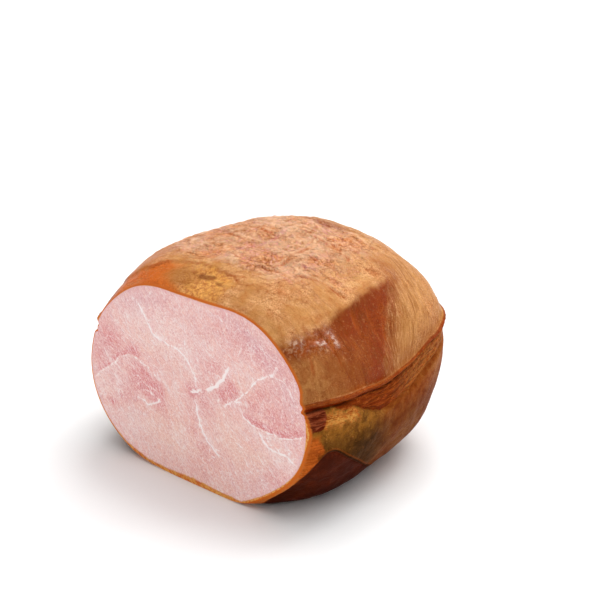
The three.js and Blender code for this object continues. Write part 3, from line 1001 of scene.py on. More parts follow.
def under_masks(place, ragged):
    strip_end = np.maximum(place.strip_edge, 8 * smooth(10, 20, ragged.depth))
    strip = smooth(1.2, -1.2, -place.above - strip_end + 0.7 * ragged.fine)
    below = smooth(-3.5, -1.5, -place.above - np.maximum(place.strip_edge, 5) + 0.7 * ragged.fine)
    maroon = smooth(0.0, 1.2, place.flap_gap)
    patch_height = 74 - 0.15 * (place.depth - 15) - 2.5 * ragged.fine
    fat_patch = smooth(6, 10, place.depth) * smooth(40, 26, ragged.depth)
    cut_band = smooth(13, 6, ragged.depth) * smooth(72, 60, place.height)
    return {
        "strip": smooth(1.0, 2.2, -place.above) * strip,
        "below": below,
        "brown_below": below * np.where(place.right, smooth(38, 80, ragged.depth), 1.0),
        "maroon": maroon,
        "cut_band": place.right * cut_band * (1 - maroon),
        "fat_patch": place.right * fat_patch * bell(place.height - patch_height, 5),
        "ribs": ribs_patch(place),
        "lip": bell(place.above - 0.7, 0.8),
        "lip_edge": smooth(2.2, 1.0, place.above) * smooth(-4.2, -2.8, place.above),
        "groove": bell(place.above + GROOVE_BELOW_LIP, 1.5),
    }


def measures(place, ragged):
    """Distances in millimetres and long coordinates that the shader reads as they are."""
    return {
        "seam_above": place.above,
        "depth_in": place.depth,
        "height_up": place.height + 3 * ragged.fine,
        "past_crease": place.end_gap,
        "crust_here": place.depth - eased(CRUST_DEPTH, place.degrees),
        "flap_gap": place.flap_gap,
        "ledge_gap": place.ledge_gap + 1.6 * ragged.fine,
        "ledge_within": place.ledge_within,
        "streak": place.streak_points(1, 1),
        "beside": place.beside_seam(),
    }


def skin_masks(place):
    ragged = Ragged(place)
    masks = {}
    for make in (top_masks, side_masks, under_masks, measures):
        masks.update(make(place, ragged))
    return masks


# The whole mesh

def ham_mesh():
    """The closed mesh, with each finish's masks. The rim's points carry both, as both reach it."""
    place, rows, around = skin_grid()
    skin = skin_points(place)
    rim = skin[:around][:, [0, 2]] - np.array((0, SEAM_HEIGHT))
    flat, cut_triangles = cut_layout(rim)
    masks = cut_masks(flat)
    forward = cut_relief(flat, masks)
    height = flat[:, 1] + SEAM_HEIGHT
    cut = columns_of(flat[:, 0], CUT_LEAN * (height - SEAM_HEIGHT) - forward, height)[around:]
    pole = np.array([[0.0, LENGTH, SEAM_HEIGHT]])
    points = np.vstack((skin, cut, pole))
    faces = grid_faces(rows, around) + end_fan(rows, around, len(points) - 1)
    skin_faces = len(faces)
    faces += cut_faces(cut_triangles, around, len(skin), points)
    mesh = bpy.data.meshes.new("ham")
    mesh.from_pydata(on_frame(points), [], faces)
    mesh.update()
    materials = np.zeros(len(faces), dtype=np.int32)
    materials[skin_faces:] = 1
    mesh.polygons.foreach_set("material_index", materials)
    mesh.shade_smooth()
    write_masks(mesh, skin_masks(place), 0)
    write_masks(mesh, {name: values[around:] for name, values in masks.items()}, len(skin))
    write_masks(mesh, {name: values[:around] for name, values in masks.items()}, 0)
    return mesh


def grid_faces(rows, around):
    faces = []
    for row in range(rows - 1):
        for column in range(around):
            here = row * around + column
            beside = row * around + (column + 1) % around
            faces.append((here, here + around, beside + around, beside))
    return faces


def end_fan(rows, around, pole):
    last = (rows - 1) * around
    return [(pole, last + (i + 1) % around, last + i) for i in range(around)]


def cut_faces(triangles, around, skin_count, points):
    """The cut's triangles, with the rim's points shared with the skin, all facing out."""
    index = np.where(triangles < around, triangles, triangles - around + skin_count)
    a, b, c = (points[index[:, i]] for i in range(3))
    turned = np.cross(b - a, c - a)[:, 1] > 0
    index[turned] = index[turned][:, ::-1]
    return [tuple(face) for face in index.tolist()]


def on_frame(points):
    """The points in metres, moved onto the frame's node."""
    low, high = (np.array(corner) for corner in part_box(NODE))
    middle = (points.min(axis=0) + points.max(axis=0)) / 2
    moved = points - np.array((middle[0], middle[1], points[:, 2].min()))
    return moved * MM + np.array(((low[0] + high[0]) / 2, (low[1] + high[1]) / 2, low[2]))


def write_masks(mesh, masks, start):
    """Adds each mask to the mesh, from a first point on, keeping what it held elsewhere."""
    count = len(mesh.vertices)
    for name, values in masks.items():
        vector = values.ndim == 2
        kind, key, width = ("FLOAT_VECTOR", "vector", 3) if vector else ("FLOAT", "value", 1)
        attribute = mesh.attributes.get(name) or mesh.attributes.new(name, kind, "POINT")
        held = np.zeros(count * width, dtype=np.float32)
        attribute.data.foreach_get(key, held)
        held[start * width:(start + len(values)) * width] = values.ravel()
        attribute.data.foreach_set(key, held)


# Shader helpers

class Tree:
    """A material's nodes, with a short method for each kind used."""

    def __init__(self, name):
        self.material = bpy.data.materials.new(name)
        self.material.use_nodes = True
        self.nodes = self.material.node_tree.nodes
        self.links = self.material.node_tree.links
        self.nodes.clear()
        self.place = self.millimetres()
        self.colour = (1.0, 1.0, 1.0)

    def set(self, socket, value):
        if isinstance(value, bpy.types.NodeSocket):
            self.links.new(value, socket)
        elif isinstance(value, tuple) and len(value) == 3 and socket.type == "RGBA":
            socket.default_value = (*value, 1.0)
        else:
            socket.default_value = value

    def add(self, kind, settings=None, **inputs):
        node = self.nodes.new(kind)
        for name, value in (settings or {}).items():
            setattr(node, name, value)
        for name, value in inputs.items():
            self.set(node.inputs[name.replace("_", " ")], value)
        return node

    def attribute(self, name, output="Fac"):
        node = self.add("ShaderNodeAttribute", {"attribute_name": name})
        return node.outputs[output]

    def math(self, operation, first, second=0.0, third=0.0):
        node = self.add("ShaderNodeMath", {"operation": operation})
        for socket, value in zip(node.inputs, (first, second, third)):
            self.set(socket, value)
        return node.outputs[0]

    def times(self, first, second):
        return self.math("MULTIPLY", first, second)

    def plus_scaled(self, value, scale, base):
        """The base with so many times the value added."""
        return self.math("MULTIPLY_ADD", value, scale, base)

    def masked(self, mask, value):
        """The value where a mask is 1, fading to 0 with it."""
        return self.times(self.attribute(mask), value)

    def span(self, value, low, high, to_low=0.0, to_high=1.0):
        """A smooth step from low to high, which may run downwards."""
        settings = {"interpolation_type": "SMOOTHSTEP"}
        node = self.add("ShaderNodeMapRange", settings)
        values = (value, low, high, to_low, to_high)
        for name, item in zip(("Value", "From Min", "From Max", "To Min", "To Max"), values):
            self.set(node.inputs[name], item)
        return node.outputs[0]

    def noise(self, vector, feature, detail=3.0, roughness=0.55, distortion=0.0):
        """Noise whose features are so many millimetres across."""
        node = self.add("ShaderNodeTexNoise", Vector=vector, Scale=1 / feature, Detail=detail,
                        Roughness=roughness, Distortion=distortion)
        return node.outputs["Fac"]

    def vein(self, vector, feature, width, detail=3.0, distortion=0.8, roughness=0.55):
        """Thin wandering lines, 1 in the middle of a line and 0 beside it."""
        field = self.noise(vector, feature, detail, roughness, distortion)
        return self.span(self.math("ABSOLUTE", self.math("SUBTRACT", field, 0.5)), width, 0.0)

    def stretched(self, vector, scale):
        node = self.add("ShaderNodeMapping", {"vector_type": "POINT"}, Vector=vector)
        node.inputs["Scale"].default_value = scale
        return node.outputs[0]

    def mix(self, factor, first, second, blend="MIX"):
        settings = {"data_type": "RGBA", "blend_type": blend, "clamp_factor": True}
        node = self.add("ShaderNodeMix", settings)
        self.set(node.inputs[0], factor)
        self.set(node.inputs[6], first)
        self.set(node.inputs[7], second)
        return node.outputs[2]

    def tint(self, factor, tone, blend="MIX"):
        """Lays a tone over the colour so far."""
        self.colour = self.mix(factor, self.colour, tone, blend)

    def layer(self, mask, tone, noise, amount, softness=0.35, strength=1.0):
        """Lays a tone over the colour where a mask is, with its edge broken up by noise."""
        shift = self.plus_scaled(noise, amount, -amount / 2)
        there = self.math("ADD", self.attribute(mask), shift)
        self.tint(self.span(there, 0.5 - softness, 0.5 + softness, 0.0, strength), tone)

    def millimetres(self):
        coordinates = self.add("ShaderNodeTexCoord").outputs["Object"]
        return self.stretched(coordinates, (1 / MM,) * 3)

    def bump(self, height):
        node = self.add("ShaderNodeBump", Strength=1.0, Distance=MM, Height=height)
        return node.outputs[0]

    def finish(self, height, **values):
        """The material, with a bump of so many millimetres and the shader's other values."""
        shader = self.add("ShaderNodeBsdfPrincipled")
        self.set(shader.inputs["Base Color"], self.colour)
        self.set(shader.inputs["Normal"], self.bump(height))
        for name, value in values.items():
            self.set(shader.inputs[name.replace("_", " ")], value)
        output = self.add("ShaderNodeOutputMaterial")
        self.links.new(shader.outputs[0], output.inputs["Surface"])
        return self.material


# Finishes

# What dark flecks, painted shade low on the skin, and pale flecks and painted highlights multiply the
# skin's colour by
SCORCHED = (0.68, 0.5, 0.36)
PAINTED_LOW_SHADE = (0.2, 0.18, 0.2)
PALE_FLECK_AND_HIGHLIGHT = (1.22, 1.32, 1.45)

# What the finest dark flecks of the cut multiply its colour by
SHADED_MEAT = (0.84, 0.78, 0.79)


class SkinTree(Tree):
    """The smoked skin's nodes, with the noises that its layers share, widest first."""

    def __init__(self):
        super().__init__("smoked skin")
        self.streak = self.attribute("streak", "Vector")
        self.beside = self.attribute("beside", "Vector")
        self.broad = self.noise(self.place, 20, 5, 0.6, 0.4)
        self.mottle = self.noise(self.place, 6.5, 6, 0.68, 0.5)
        self.flecks = self.noise(self.place, 2.6, 5, 0.7)
        self.grain = self.noise(self.place, 1.2, 4, 0.75)
        self.tiny = self.noise(self.place, 0.8, 2, 0.6)
        self.streaks = self.noise(self.stretched(self.streak, (1, 0.32, 0.32)), 6, 6, 0.68, 0.8)
        self.thin_streaks = self.noise(self.stretched(self.streak, (1, 0.1, 0.1)), 2, 5, 0.68, 0.8)
        self.lengthwise = self.noise(self.stretched(self.beside, (1, 0.14, 1)), 2.2, 5, 0.68, 0.7)


def skin_material(tones):
    skin = SkinTree()
    for step in (lay_top, lay_side, lay_end, lay_front, lay_underside, lay_strip, lay_by_the_cut, lay_seam,
                 draw_edges, draw_veins, draw_folds):
        step(skin, tones)
    cracks = draw_cracks(skin, tones)
    crisp = draw_crisp_lines(skin, tones)
    draw_scratches(skin, tones)
    draw_seam_ridges(skin, tones)
    # Painted glint: pale flake colour on the moist glossy patches
    skin.tint(skin.masked("gloss", skin.span(skin.flecks, 0.48, 0.6, 0, 0.35)), tones.flake)
    fleck(skin)
    lay_crust(skin, tones)

    height = skin.times(skin.grain, 0.35)
    height = skin.plus_scaled(skin.flecks, 0.3, height)
    height = skin.plus_scaled(skin.mottle, 0.7, height)
    height = skin.plus_scaled(skin.thin_streaks, skin.masked("end", 0.4), height)
    height = skin.plus_scaled(cracks, -0.6, height)
    height = skin.plus_scaled(crisp, skin.masked("cream", 0.5), height)
    return skin.finish(
        height,
        Roughness=skin.span(skin.mottle, 0.3, 0.7, 0.28, 0.48),
        Specular_IOR_Level=skin.span(skin.attribute("seam_above"), 1.5, 7, 0.01, 0.1),
        Coat_Weight=skin.masked("gloss", skin.span(skin.flecks, 0.42, 0.56, 0.1, 1.0)),
        Specular_Tint=(1.0, 0.65, 0.4), IOR=1.45, Coat_Roughness=0.12, Coat_IOR=1.8,
        Subsurface_Weight=0.08, Subsurface_Radius=(1.0, 0.4, 0.2), Subsurface_Scale=0.002)


def lay_top(skin, tones):
    """Plain tan skin, with the pink cream of the middle of the top."""
    skin.colour = skin.mix(skin.span(skin.broad, 0.38, 0.62), tones.tan, tones.tan_light)
    skin.tint(skin.span(skin.mottle, 0.42, 0.7, 0, 0.6), tones.amber)
    cream = skin.mix(skin.span(skin.broad, 0.4, 0.62), tones.cream, tones.cream_dark)
    cream = skin.mix(skin.span(skin.mottle, 0.5, 0.72, 0, 0.75), cream, tones.amber)
    cream = skin.mix(skin.span(skin.mottle, 0.42, 0.28, 0, 0.6), cream, tones.blush)
    skin.layer("cream", cream, skin.mottle, 0.8, 0.4)
    skin.layer("rust_edge", tones.side_red, skin.mottle, 1.2, 0.3, 0.75)
    skin.layer("left_edge", tones.amber, skin.mottle, 1.0, 0.4, 0.8)


def rust_streaks(skin, tones):
    return skin.mix(skin.span(skin.streaks, 0.44, 0.62), tones.side_red, tones.side_dark)


def lay_side(skin, tones):
    side = skin.mix(skin.span(skin.streaks, 0.36, 0.64), tones.side, tones.side_dark)
    front = skin.masked("side_front", skin.span(skin.mottle, 0.35, 0.6, 0.3, 0.75))
    side = skin.mix(front, side, tones.tan)
    skin.layer("side", side, skin.streaks, 0.3, 0.4)
    skin.layer("left_side", side, skin.streaks, 0.3, 0.4)
    skin.layer("red_side", rust_streaks(skin, tones), skin.streaks, 1.5, 0.55, 0.8)


def lay_end(skin, tones):
    """The streaky end, browner by the seam and by the crease that parts it from the side."""
    end = skin.mix(skin.span(skin.streaks, 0.4, 0.62), tones.tan, tones.umber_light)
    end = skin.mix(skin.span(skin.thin_streaks, 0.5, 0.34, 0, 0.6), end, tones.tan_light)
    end = skin.mix(skin.span(skin.attribute("seam_above"), 20, 2, 0, 0.7), end, tones.side)
    past_crease = skin.plus_scaled(skin.streaks, 16, skin.attribute("past_crease"))
    end = skin.mix(skin.span(past_crease, 32, 12, 0, 0.8), end, tones.side)
    end = skin.mix(skin.span(past_crease, 20, 8, 0, 0.9), end, rust_streaks(skin, tones))
    skin.layer("end", end, skin.thin_streaks, 1.6, 0.9)
    gathered = skin.mix(skin.mottle, tones.tan, tones.umber_light)
    skin.layer("gather", gathered, skin.broad, 0.8, 0.4)


def lay_front(skin, tones):
    """The amber, gold and brown skin behind the top of the cut."""
    amber = skin.mix(skin.span(skin.mottle, 0.3, 0.55), tones.amber, tones.orange)
    gold = skin.mix(skin.span(skin.flecks, 0.4, 0.62), tones.gold, tones.amber)
    skin.layer("amber_front", amber, skin.broad, 1.4, 0.5)
    skin.layer("gold_front", gold, skin.mottle, 1.4, 0.4, 0.8)
    skin.layer("brown_front", tones.umber_light, skin.mottle, 1.2, 0.4, 0.8)
    skin.layer("blotch", tones.umber, skin.mottle, 1.4, 0.4, 0.75)


def lay_underside(skin, tones):
    """Olive skin below the seam on the right and brown elsewhere, with painted shade low down."""
    olive = skin.mix(skin.span(skin.mottle, 0.34, 0.72), tones.olive, tones.olive_dark)
    olive = skin.mix(skin.span(skin.flecks, 0.56, 0.72, 0, 0.6), olive, tones.gold)
    brown = skin.mix(skin.span(skin.mottle, 0.36, 0.66), tones.side, tones.side_dark)
    brown = skin.mix(skin.span(skin.broad, 0.45, 0.66, 0, 0.6), brown, tones.umber_light)
    brown_here = skin.masked("brown_below", skin.span(skin.flecks, 0.25, 0.5, 0.6, 0.95))
    below = skin.mix(brown_here, olive, brown)
    # Painted shade low down below the seam, weaker where the skin is brown
    low = skin.span(skin.attribute("height_up"), 68, 46, 0, 0.95)
    low = skin.times(low, skin.span(skin.attribute("brown_below"), 1.0, 0.0, 0.5, 1.0))
    below = skin.mix(low, below, PAINTED_LOW_SHADE, "MULTIPLY")
    skin.layer("below", below, skin.broad, 0.3)


def lay_strip(skin, tones):
    strip = skin.mix(skin.span(skin.lengthwise, 0.36, 0.64), tones.strip, tones.side_dark)
    back_part = skin.span(skin.attribute("depth_in"), 60, 105)
    flecked = skin.times(back_part, skin.span(skin.flecks, 0.35, 0.6))
    strip = skin.mix(flecked, strip, tones.umber_light)
    skin.layer("strip", strip, skin.lengthwise, 0.4, 0.3)


def lay_by_the_cut(skin, tones):
    """What lies below the seam beside the cut: fat, orange skin, bare ribs and the flap's meat."""
    crumbs = skin.mix(skin.span(skin.flecks, 0.42, 0.62, 0, 0.8), tones.gold, tones.orange)
    band = skin.mix(skin.span(skin.lengthwise, 0.34, 0.66, 0.1, 0.7), tones.orange, tones.side_dark)
    ribs = skin.mix(skin.span(skin.lengthwise, 0.46, 0.58), tones.ribs, tones.ribs_light)
    maroon = skin.mix(skin.span(skin.broad, 0.45, 0.7, 0, 0.4), tones.maroon, tones.strip)
    skin.layer("fat_patch", crumbs, skin.flecks, 1.8, 0.4, 0.75)
    skin.layer("cut_band", band, skin.broad, 0.5, 0.3)
    skin.layer("ribs", ribs, skin.mottle, 0.6, 0.2)
    skin.layer("maroon", maroon, skin.mottle, 0.2, 0.3)


def lay_seam(skin, tones):
    edge = skin.mix(skin.span(skin.lengthwise, 0.4, 0.6), tones.side_dark, tones.side_red)
    # Painted shade in the groove under the lip, in the crease colour
    skin.layer("groove", tones.crease, skin.lengthwise, 0.9, 0.35, 0.8)
    skin.layer("lip_edge", edge, skin.lengthwise, 0.5, 0.35, 0.9)


def draw_edges(skin, tones):
    """Thin lines along the ledge of the top and along the flap, the flap's line being painted shade in its
    crease.
    """
    ledge = skin.span(skin.math("ABSOLUTE", skin.attribute("ledge_gap")), 1.5, 0.1)
    ledge = skin.times(ledge, skin.masked("ledge_within", skin.span(skin.broad, 0.36, 0.6)))
    skin.tint(skin.times(ledge, 0.7), tones.rust)
    # Painted shade in the crease along the flap's edge
    flap = skin.span(skin.math("ABSOLUTE", skin.attribute("flap_gap")), 1.2, 0.1, 0, 0.85)
    skin.tint(flap, tones.crease)
    beside = skin.math("ABSOLUTE", skin.math("ADD", skin.attribute("flap_gap"), 1.4))
    skin.tint(skin.span(beside, 0.7, 0.1, 0, 0.3), tones.orange_light)


def draw_veins(skin, tones):
    """Dark and pale streaks, and the lilac veins of the top."""
    skin.tint(skin.span(skin.streaks, 0.58, 0.76, 0, 0.4), SCORCHED, "MULTIPLY")
    side_or_end = skin.math("MAXIMUM", skin.attribute("side"), skin.attribute("end"))
    skin.tint(skin.times(side_or_end, skin.span(skin.flecks, 0.55, 0.7, 0, 0.3)), tones.tan_light)
    skin.tint(skin.masked("vein", 0.55), tones.lavender_vein)
    fine = skin.times(skin.masked("cream", 0.6), skin.vein(skin.place, 16, 0.022, 4, 1.2))
    skin.tint(fine, tones.lavender_vein)


def draw_folds(skin, tones):
    """Pale flakes, pale crests with a painted highlight, and painted shade in the valleys of the folds."""
    flakes = skin.times(skin.masked("flakes", 0.6), skin.span(skin.grain, 0.36, 0.52, 0.1, 0.9))
    skin.tint(flakes, tones.flake)
    # Pale crests of the top's folds, partly pale skin and partly painted highlight
    skin.tint(skin.masked("crest", skin.span(skin.flecks, 0.38, 0.54, 0.1, 0.8)), tones.flake)
    # Painted highlight on the crests of the side's folds
    skin.tint(skin.masked("side_crest", 0.8), PALE_FLECK_AND_HIGHLIGHT, "MULTIPLY")
    # Painted shade in the valleys of the folds
    skin.tint(skin.masked("valley", skin.span(skin.flecks, 0.34, 0.56, 0.3, 1.0)), tones.rust)


def draw_cracks(skin, tones):
    """Thin dark cracks above the seam, stronger in the cream skin."""
    cracks = skin.vein(skin.place, 11, 0.018, 5, 1.0, 0.6)
    cracks = skin.times(cracks, skin.span(skin.broad, 0.4, 0.56, 0.1, 0.8))
    cracks = skin.times(cracks, skin.span(skin.attribute("seam_above"), 8, 30))
    cracks = skin.times(cracks, skin.span(skin.attribute("cream"), 0.0, 0.5, 0.25, 0.8))
    skin.tint(cracks, tones.rust)
    return cracks


def draw_crisp_lines(skin, tones):
    """Thin pale raised lines in the cream skin."""
    crisp = skin.vein(skin.place, 7, 0.014, 5, 1.3, 0.6)
    crisp = skin.times(crisp, skin.span(skin.broad, 0.6, 0.45, 0.1, 0.9))
    skin.tint(skin.times(crisp, skin.attribute("cream")), tones.flake)
    return crisp


def draw_scratches(skin, tones):
    """Thin pale and dark lines along the streaks of the side and end."""
    scratches = skin.vein(skin.stretched(skin.streak, (1, 0.05, 0.05)), 3.2, 0.035, 4, 0.6, 0.6)
    scratches = skin.times(scratches, skin.span(skin.flecks, 0.4, 0.56, 0.2, 1.0))
    skin.tint(skin.times(scratches, skin.masked("end", 0.5)), tones.pale_line)
    skin.tint(skin.times(scratches, skin.masked("side", 0.2)), PALE_FLECK_AND_HIGHLIGHT, "MULTIPLY")
    dark_lines = skin.vein(skin.stretched(skin.streak, (1, 0.06, 0.06)), 5, 0.03, 4, 0.8, 0.6)
    skin.tint(skin.times(dark_lines, skin.masked("end", 0.5)), SCORCHED, "MULTIPLY")


def draw_seam_ridges(skin, tones):
    """Crinkled lines that run beside the seam, with painted shade in their grooves."""
    groove_shade = skin.vein(skin.stretched(skin.beside, (1, 0.1, 1)), 4, 0.05, 4, 0.8, 0.6)
    # Painted shade in the grooves of the crinkles
    skin.tint(skin.times(groove_shade, skin.masked("strip", 0.5)), tones.crease)
    ridges = skin.vein(skin.stretched(skin.beside, (1, 0.12, 1)), 3, 0.04, 4, 0.8, 0.6)
    skin.tint(skin.times(ridges, skin.masked("strip", 0.45)), tones.orange)
    skin.tint(skin.times(ridges, skin.masked("fat_patch", 0.9)), tones.side_red)
    skin.tint(skin.times(ridges, skin.masked("lip", 0.5)), tones.orange)


def fleck(skin):
    """Dark and light flecks of each size, in busier and calmer parts."""
    busy = skin.span(skin.broad, 0.42, 0.6, 0.3, 1.0)
    for noise, amount in ((skin.mottle, 0.3), (skin.flecks, 0.4), (skin.grain, 0.55), (skin.tiny, 0.7)):
        dark = skin.times(skin.span(noise, 0.5, 0.66, 0, amount), busy)
        light = skin.times(skin.span(noise, 0.5, 0.34, 0, amount), busy)
        skin.tint(dark, SCORCHED, "MULTIPLY")
        skin.tint(light, PALE_FLECK_AND_HIGHLIGHT, "MULTIPLY")


def lay_crust(skin, tones):
    """The crust of the lower edge, and the orange line round the cut."""
    crust = skin.mix(skin.span(skin.flecks, 0.4, 0.6), tones.amber, tones.orange)
    edge = skin.plus_scaled(skin.flecks, 1.6, skin.attribute("crust_here"))
    skin.tint(skin.span(edge, 1.8, 0.2), crust)
    rim = skin.span(skin.plus_scaled(skin.flecks, 2.4, skin.attribute("depth_in")), 2.6, 1.3)
    skin.tint(skin.times(rim, 0.85), tones.orange)


class CutTree(Tree):
    """The cut meat's nodes, with noises that are drawn out along the muscles' fibres."""

    def __init__(self):
        super().__init__("cut meat")
        self.fibre = self.attribute("fibre", "Vector")
        self.broad = self.noise(self.place, 24, 4, 0.55, 0.4)
        self.mottle = self.along_fibres(0.55, 5, 5, 0.65, 0.3)
        self.hue = self.along_fibres(0.5, 2.3, 4, 0.7)
        self.grain = self.along_fibres(0.45, 1.3, 4, 0.75)
        self.tiny = self.along_fibres(0.7, 0.8, 2, 0.6)

    def along_fibres(self, share, *noise):
        return self.noise(self.stretched(self.fibre, (share, 1, 1)), *noise)

    def uneven(self, mask, noise, amount, base=None):
        """A mask with so much noise about its middle added."""
        start = self.attribute(mask) if base is None else base
        return self.plus_scaled(self.math("SUBTRACT", noise, 0.5), amount, start)


def cut_material(tones):
    cut = CutTree()
    lay_meat(cut, tones)
    grain_meat(cut, tones)
    threads = draw_threads(cut, tones)
    lay_fat(cut, tones)
    lay_rim(cut, tones)

    height = cut.times(cut.grain, 0.3)
    height = cut.plus_scaled(threads, 0.06, height)
    height = cut.plus_scaled(cut.mottle, 0.3, height)
    return cut.finish(
        height,
        Roughness=cut.span(cut.mottle, 0.3, 0.7, 0.34, 0.5),
        IOR=1.4, Specular_IOR_Level=0.2, Coat_Weight=0.04, Coat_Roughness=0.22,
        Subsurface_Weight=0.12, Subsurface_Radius=(1.0, 0.45, 0.35), Subsurface_Scale=0.002)


def lay_meat(cut, tones):
    """The muscles, in their paler, warmer, cooler and redder parts."""
    cut.colour = cut.mix(cut.span(cut.mottle, 0.36, 0.64), tones.meat, tones.meat_light)
    cut.tint(cut.masked("peach", 0.85), tones.peach)
    cut.tint(cut.masked("pale", 0.9), tones.meat_pale)
    cut.tint(cut.masked("lavender", 0.9), tones.lavender)
    red = cut.uneven("red", cut.broad, 1.1)
    red = cut.uneven("red", cut.mottle, 0.5, red)
    cut.tint(cut.span(red, -0.2, 0.85), tones.meat_red)


def grain_meat(cut, tones):
    """Flecks of each size, along the fibres."""
    cut.tint(cut.span(cut.hue, 0.52, 0.7, 0, 0.5), tones.peach)
    cut.tint(cut.span(cut.hue, 0.48, 0.3, 0, 0.5), tones.lavender)
    cut.tint(cut.span(cut.grain, 0.51, 0.68, 0, 0.5), tones.fat)
    cut.tint(cut.span(cut.grain, 0.49, 0.32, 0, 0.35), tones.meat_red)
    cut.tint(cut.span(cut.tiny, 0.52, 0.66, 0, 0.5), tones.fat)
    cut.tint(cut.span(cut.tiny, 0.5, 0.36, 0, 0.75), SHADED_MEAT, "MULTIPLY")
    cut.tint(cut.span(cut.grain, 0.48, 0.34, 0, 0.5), SHADED_MEAT, "MULTIPLY")


def draw_threads(cut, tones):
    """Hair-fine threads along the fibres, and a net of thin veins."""
    threads = cut.vein(cut.stretched(cut.fibre, (0.22, 1, 1)), 3.6, 0.03, 4, 0.5)
    cut.tint(cut.times(threads, cut.span(cut.mottle, 0.4, 0.62, 0.1, 0.6)), tones.fat)
    veins = cut.vein(cut.stretched(cut.fibre, (0.5, 1, 1)), 11, 0.014, 5, 1.1, 0.6)
    cut.tint(cut.times(veins, cut.span(cut.hue, 0.35, 0.6, 0.15, 0.8)), tones.fat)
    return threads


def lay_fat(cut, tones):
    """The fat seams, with feathered sides."""
    cut.tint(cut.masked("halo", 0.2), tones.meat_pale)
    cut.tint(cut.span(cut.uneven("halo", cut.hue, 2.2), 0.55, 1.05, 0, 0.8), tones.fat)
    cut.tint(cut.span(cut.uneven("fat", cut.grain, 1.8), 0.2, 0.8), tones.fat)


def lay_rim(cut, tones):
    """The pinker meat near the edge of the cut, and the crust round it."""
    near_rim = cut.plus_scaled(cut.hue, 4.0, cut.attribute("rim_gap"))
    cut.tint(cut.span(near_rim, 6.5, 3.0, 0, 0.45), tones.lavender)
    crust = cut.mix(cut.span(cut.hue, 0.42, 0.6), tones.gold, tones.orange)
    edge = cut.plus_scaled(cut.hue, 0.8, cut.attribute("crust"))
    cut.tint(cut.span(edge, 1.45, 1.1), crust)


def floor_material(colour):
    floor = Tree("studio floor")
    haze = floor.noise(floor.place, 300, 2)
    floor.colour = colour
    floor.tint(floor.times(haze, 0.02), (0.9, 0.9, 0.9))
    return floor.finish(0.0, Roughness=0.4, Specular_IOR_Level=0.2)


# Settings in the sidebar

def colour_property(name, description, red, green, blue):
    return bpy.props.FloatVectorProperty(
        name=name, description=description, subtype="COLOR", size=3, min=0.0, max=1.0,
        default=srgb(red, green, blue))


def light_property(name, description, strength):
    return bpy.props.FloatProperty(name=name, description=description, default=strength, min=0.0)


class HamColours(bpy.types.PropertyGroup):
    tan: colour_property("Tan", "Plain smoked skin", 206, 146, 84)
    tan_light: colour_property("Light tan", "Smoked skin where it is raised", 224, 168, 112)
    amber: colour_property("Amber", "Warm mottling of the skin", 192, 114, 56)
    cream: colour_property("Cream", "Pink cream skin on top", 232, 178, 138)
    cream_dark: colour_property("Dark cream", "Darker parts of the cream skin", 218, 150, 98)
    side: colour_property("Side", "Brown skin on the sides", 150, 78, 30)
    side_dark: colour_property("Dark side", "Dark streaks on the sides", 130, 56, 14)
    side_red: colour_property("Rust side", "Reddest part of the sides", 134, 42, 5)
    orange: colour_property("Orange", "Orange skin near the cut", 208, 104, 36)
    orange_light: colour_property("Light orange", "Line along the flap", 170, 78, 24)
    rust: colour_property("Rust", "Thin dark lines in the skin", 176, 84, 34)
    umber: colour_property("Umber", "Dark brown blotches", 116, 56, 22)
    umber_light: colour_property("Light umber", "Brown skin behind the cut", 170, 108, 52)
    gold: colour_property("Gold", "Golden skin behind the cut", 230, 166, 82)
    olive: colour_property("Olive", "Skin low on the sides", 154, 98, 34)
    olive_dark: colour_property("Dark olive", "Dark mottling low on the sides", 100, 62, 22)
    strip: colour_property("Strip", "Red brown strip under the seam", 124, 46, 10)
    ribs: colour_property("Ribs", "Bare ribbed meat under the seam", 92, 30, 12)
    ribs_light: colour_property("Light ribs", "Crests of the ribbed meat", 160, 80, 48)
    maroon: colour_property("Maroon", "Moist meat under the flap", 68, 24, 11)
    crease: colour_property("Crease", "Shadowed creases", 44, 16, 6)
    meat: colour_property("Meat", "Pink cut meat", 246, 194, 184)
    meat_light: colour_property("Light meat", "Light mottling of the cut", 247, 211, 205)
    meat_pale: colour_property("Pale meat", "Palest cut meat", 251, 227, 221)
    meat_red: colour_property("Red meat", "Redder muscles of the cut", 224, 130, 130)
    peach: colour_property("Peach", "Warm mottling of the cut", 245, 199, 179)
    lavender: colour_property("Lavender", "Cool mottling of the cut", 224, 168, 173)
    fat: colour_property("Fat", "Fat between the muscles", 255, 240, 238)
    blush: colour_property("Blush", "Pink patches of the top", 216, 142, 118)
    # Pale flakes and raised lines, and also the painted highlights on crests and the painted glint
    flake: colour_property("Flakes", "Thin raised edges of the skin", 252, 210, 166)
    pale_line: colour_property("Pale lines", "Thin pale lines of the end", 232, 178, 120)
    lavender_vein: colour_property("Top veins", "Lilac veins of the top", 214, 140, 142)


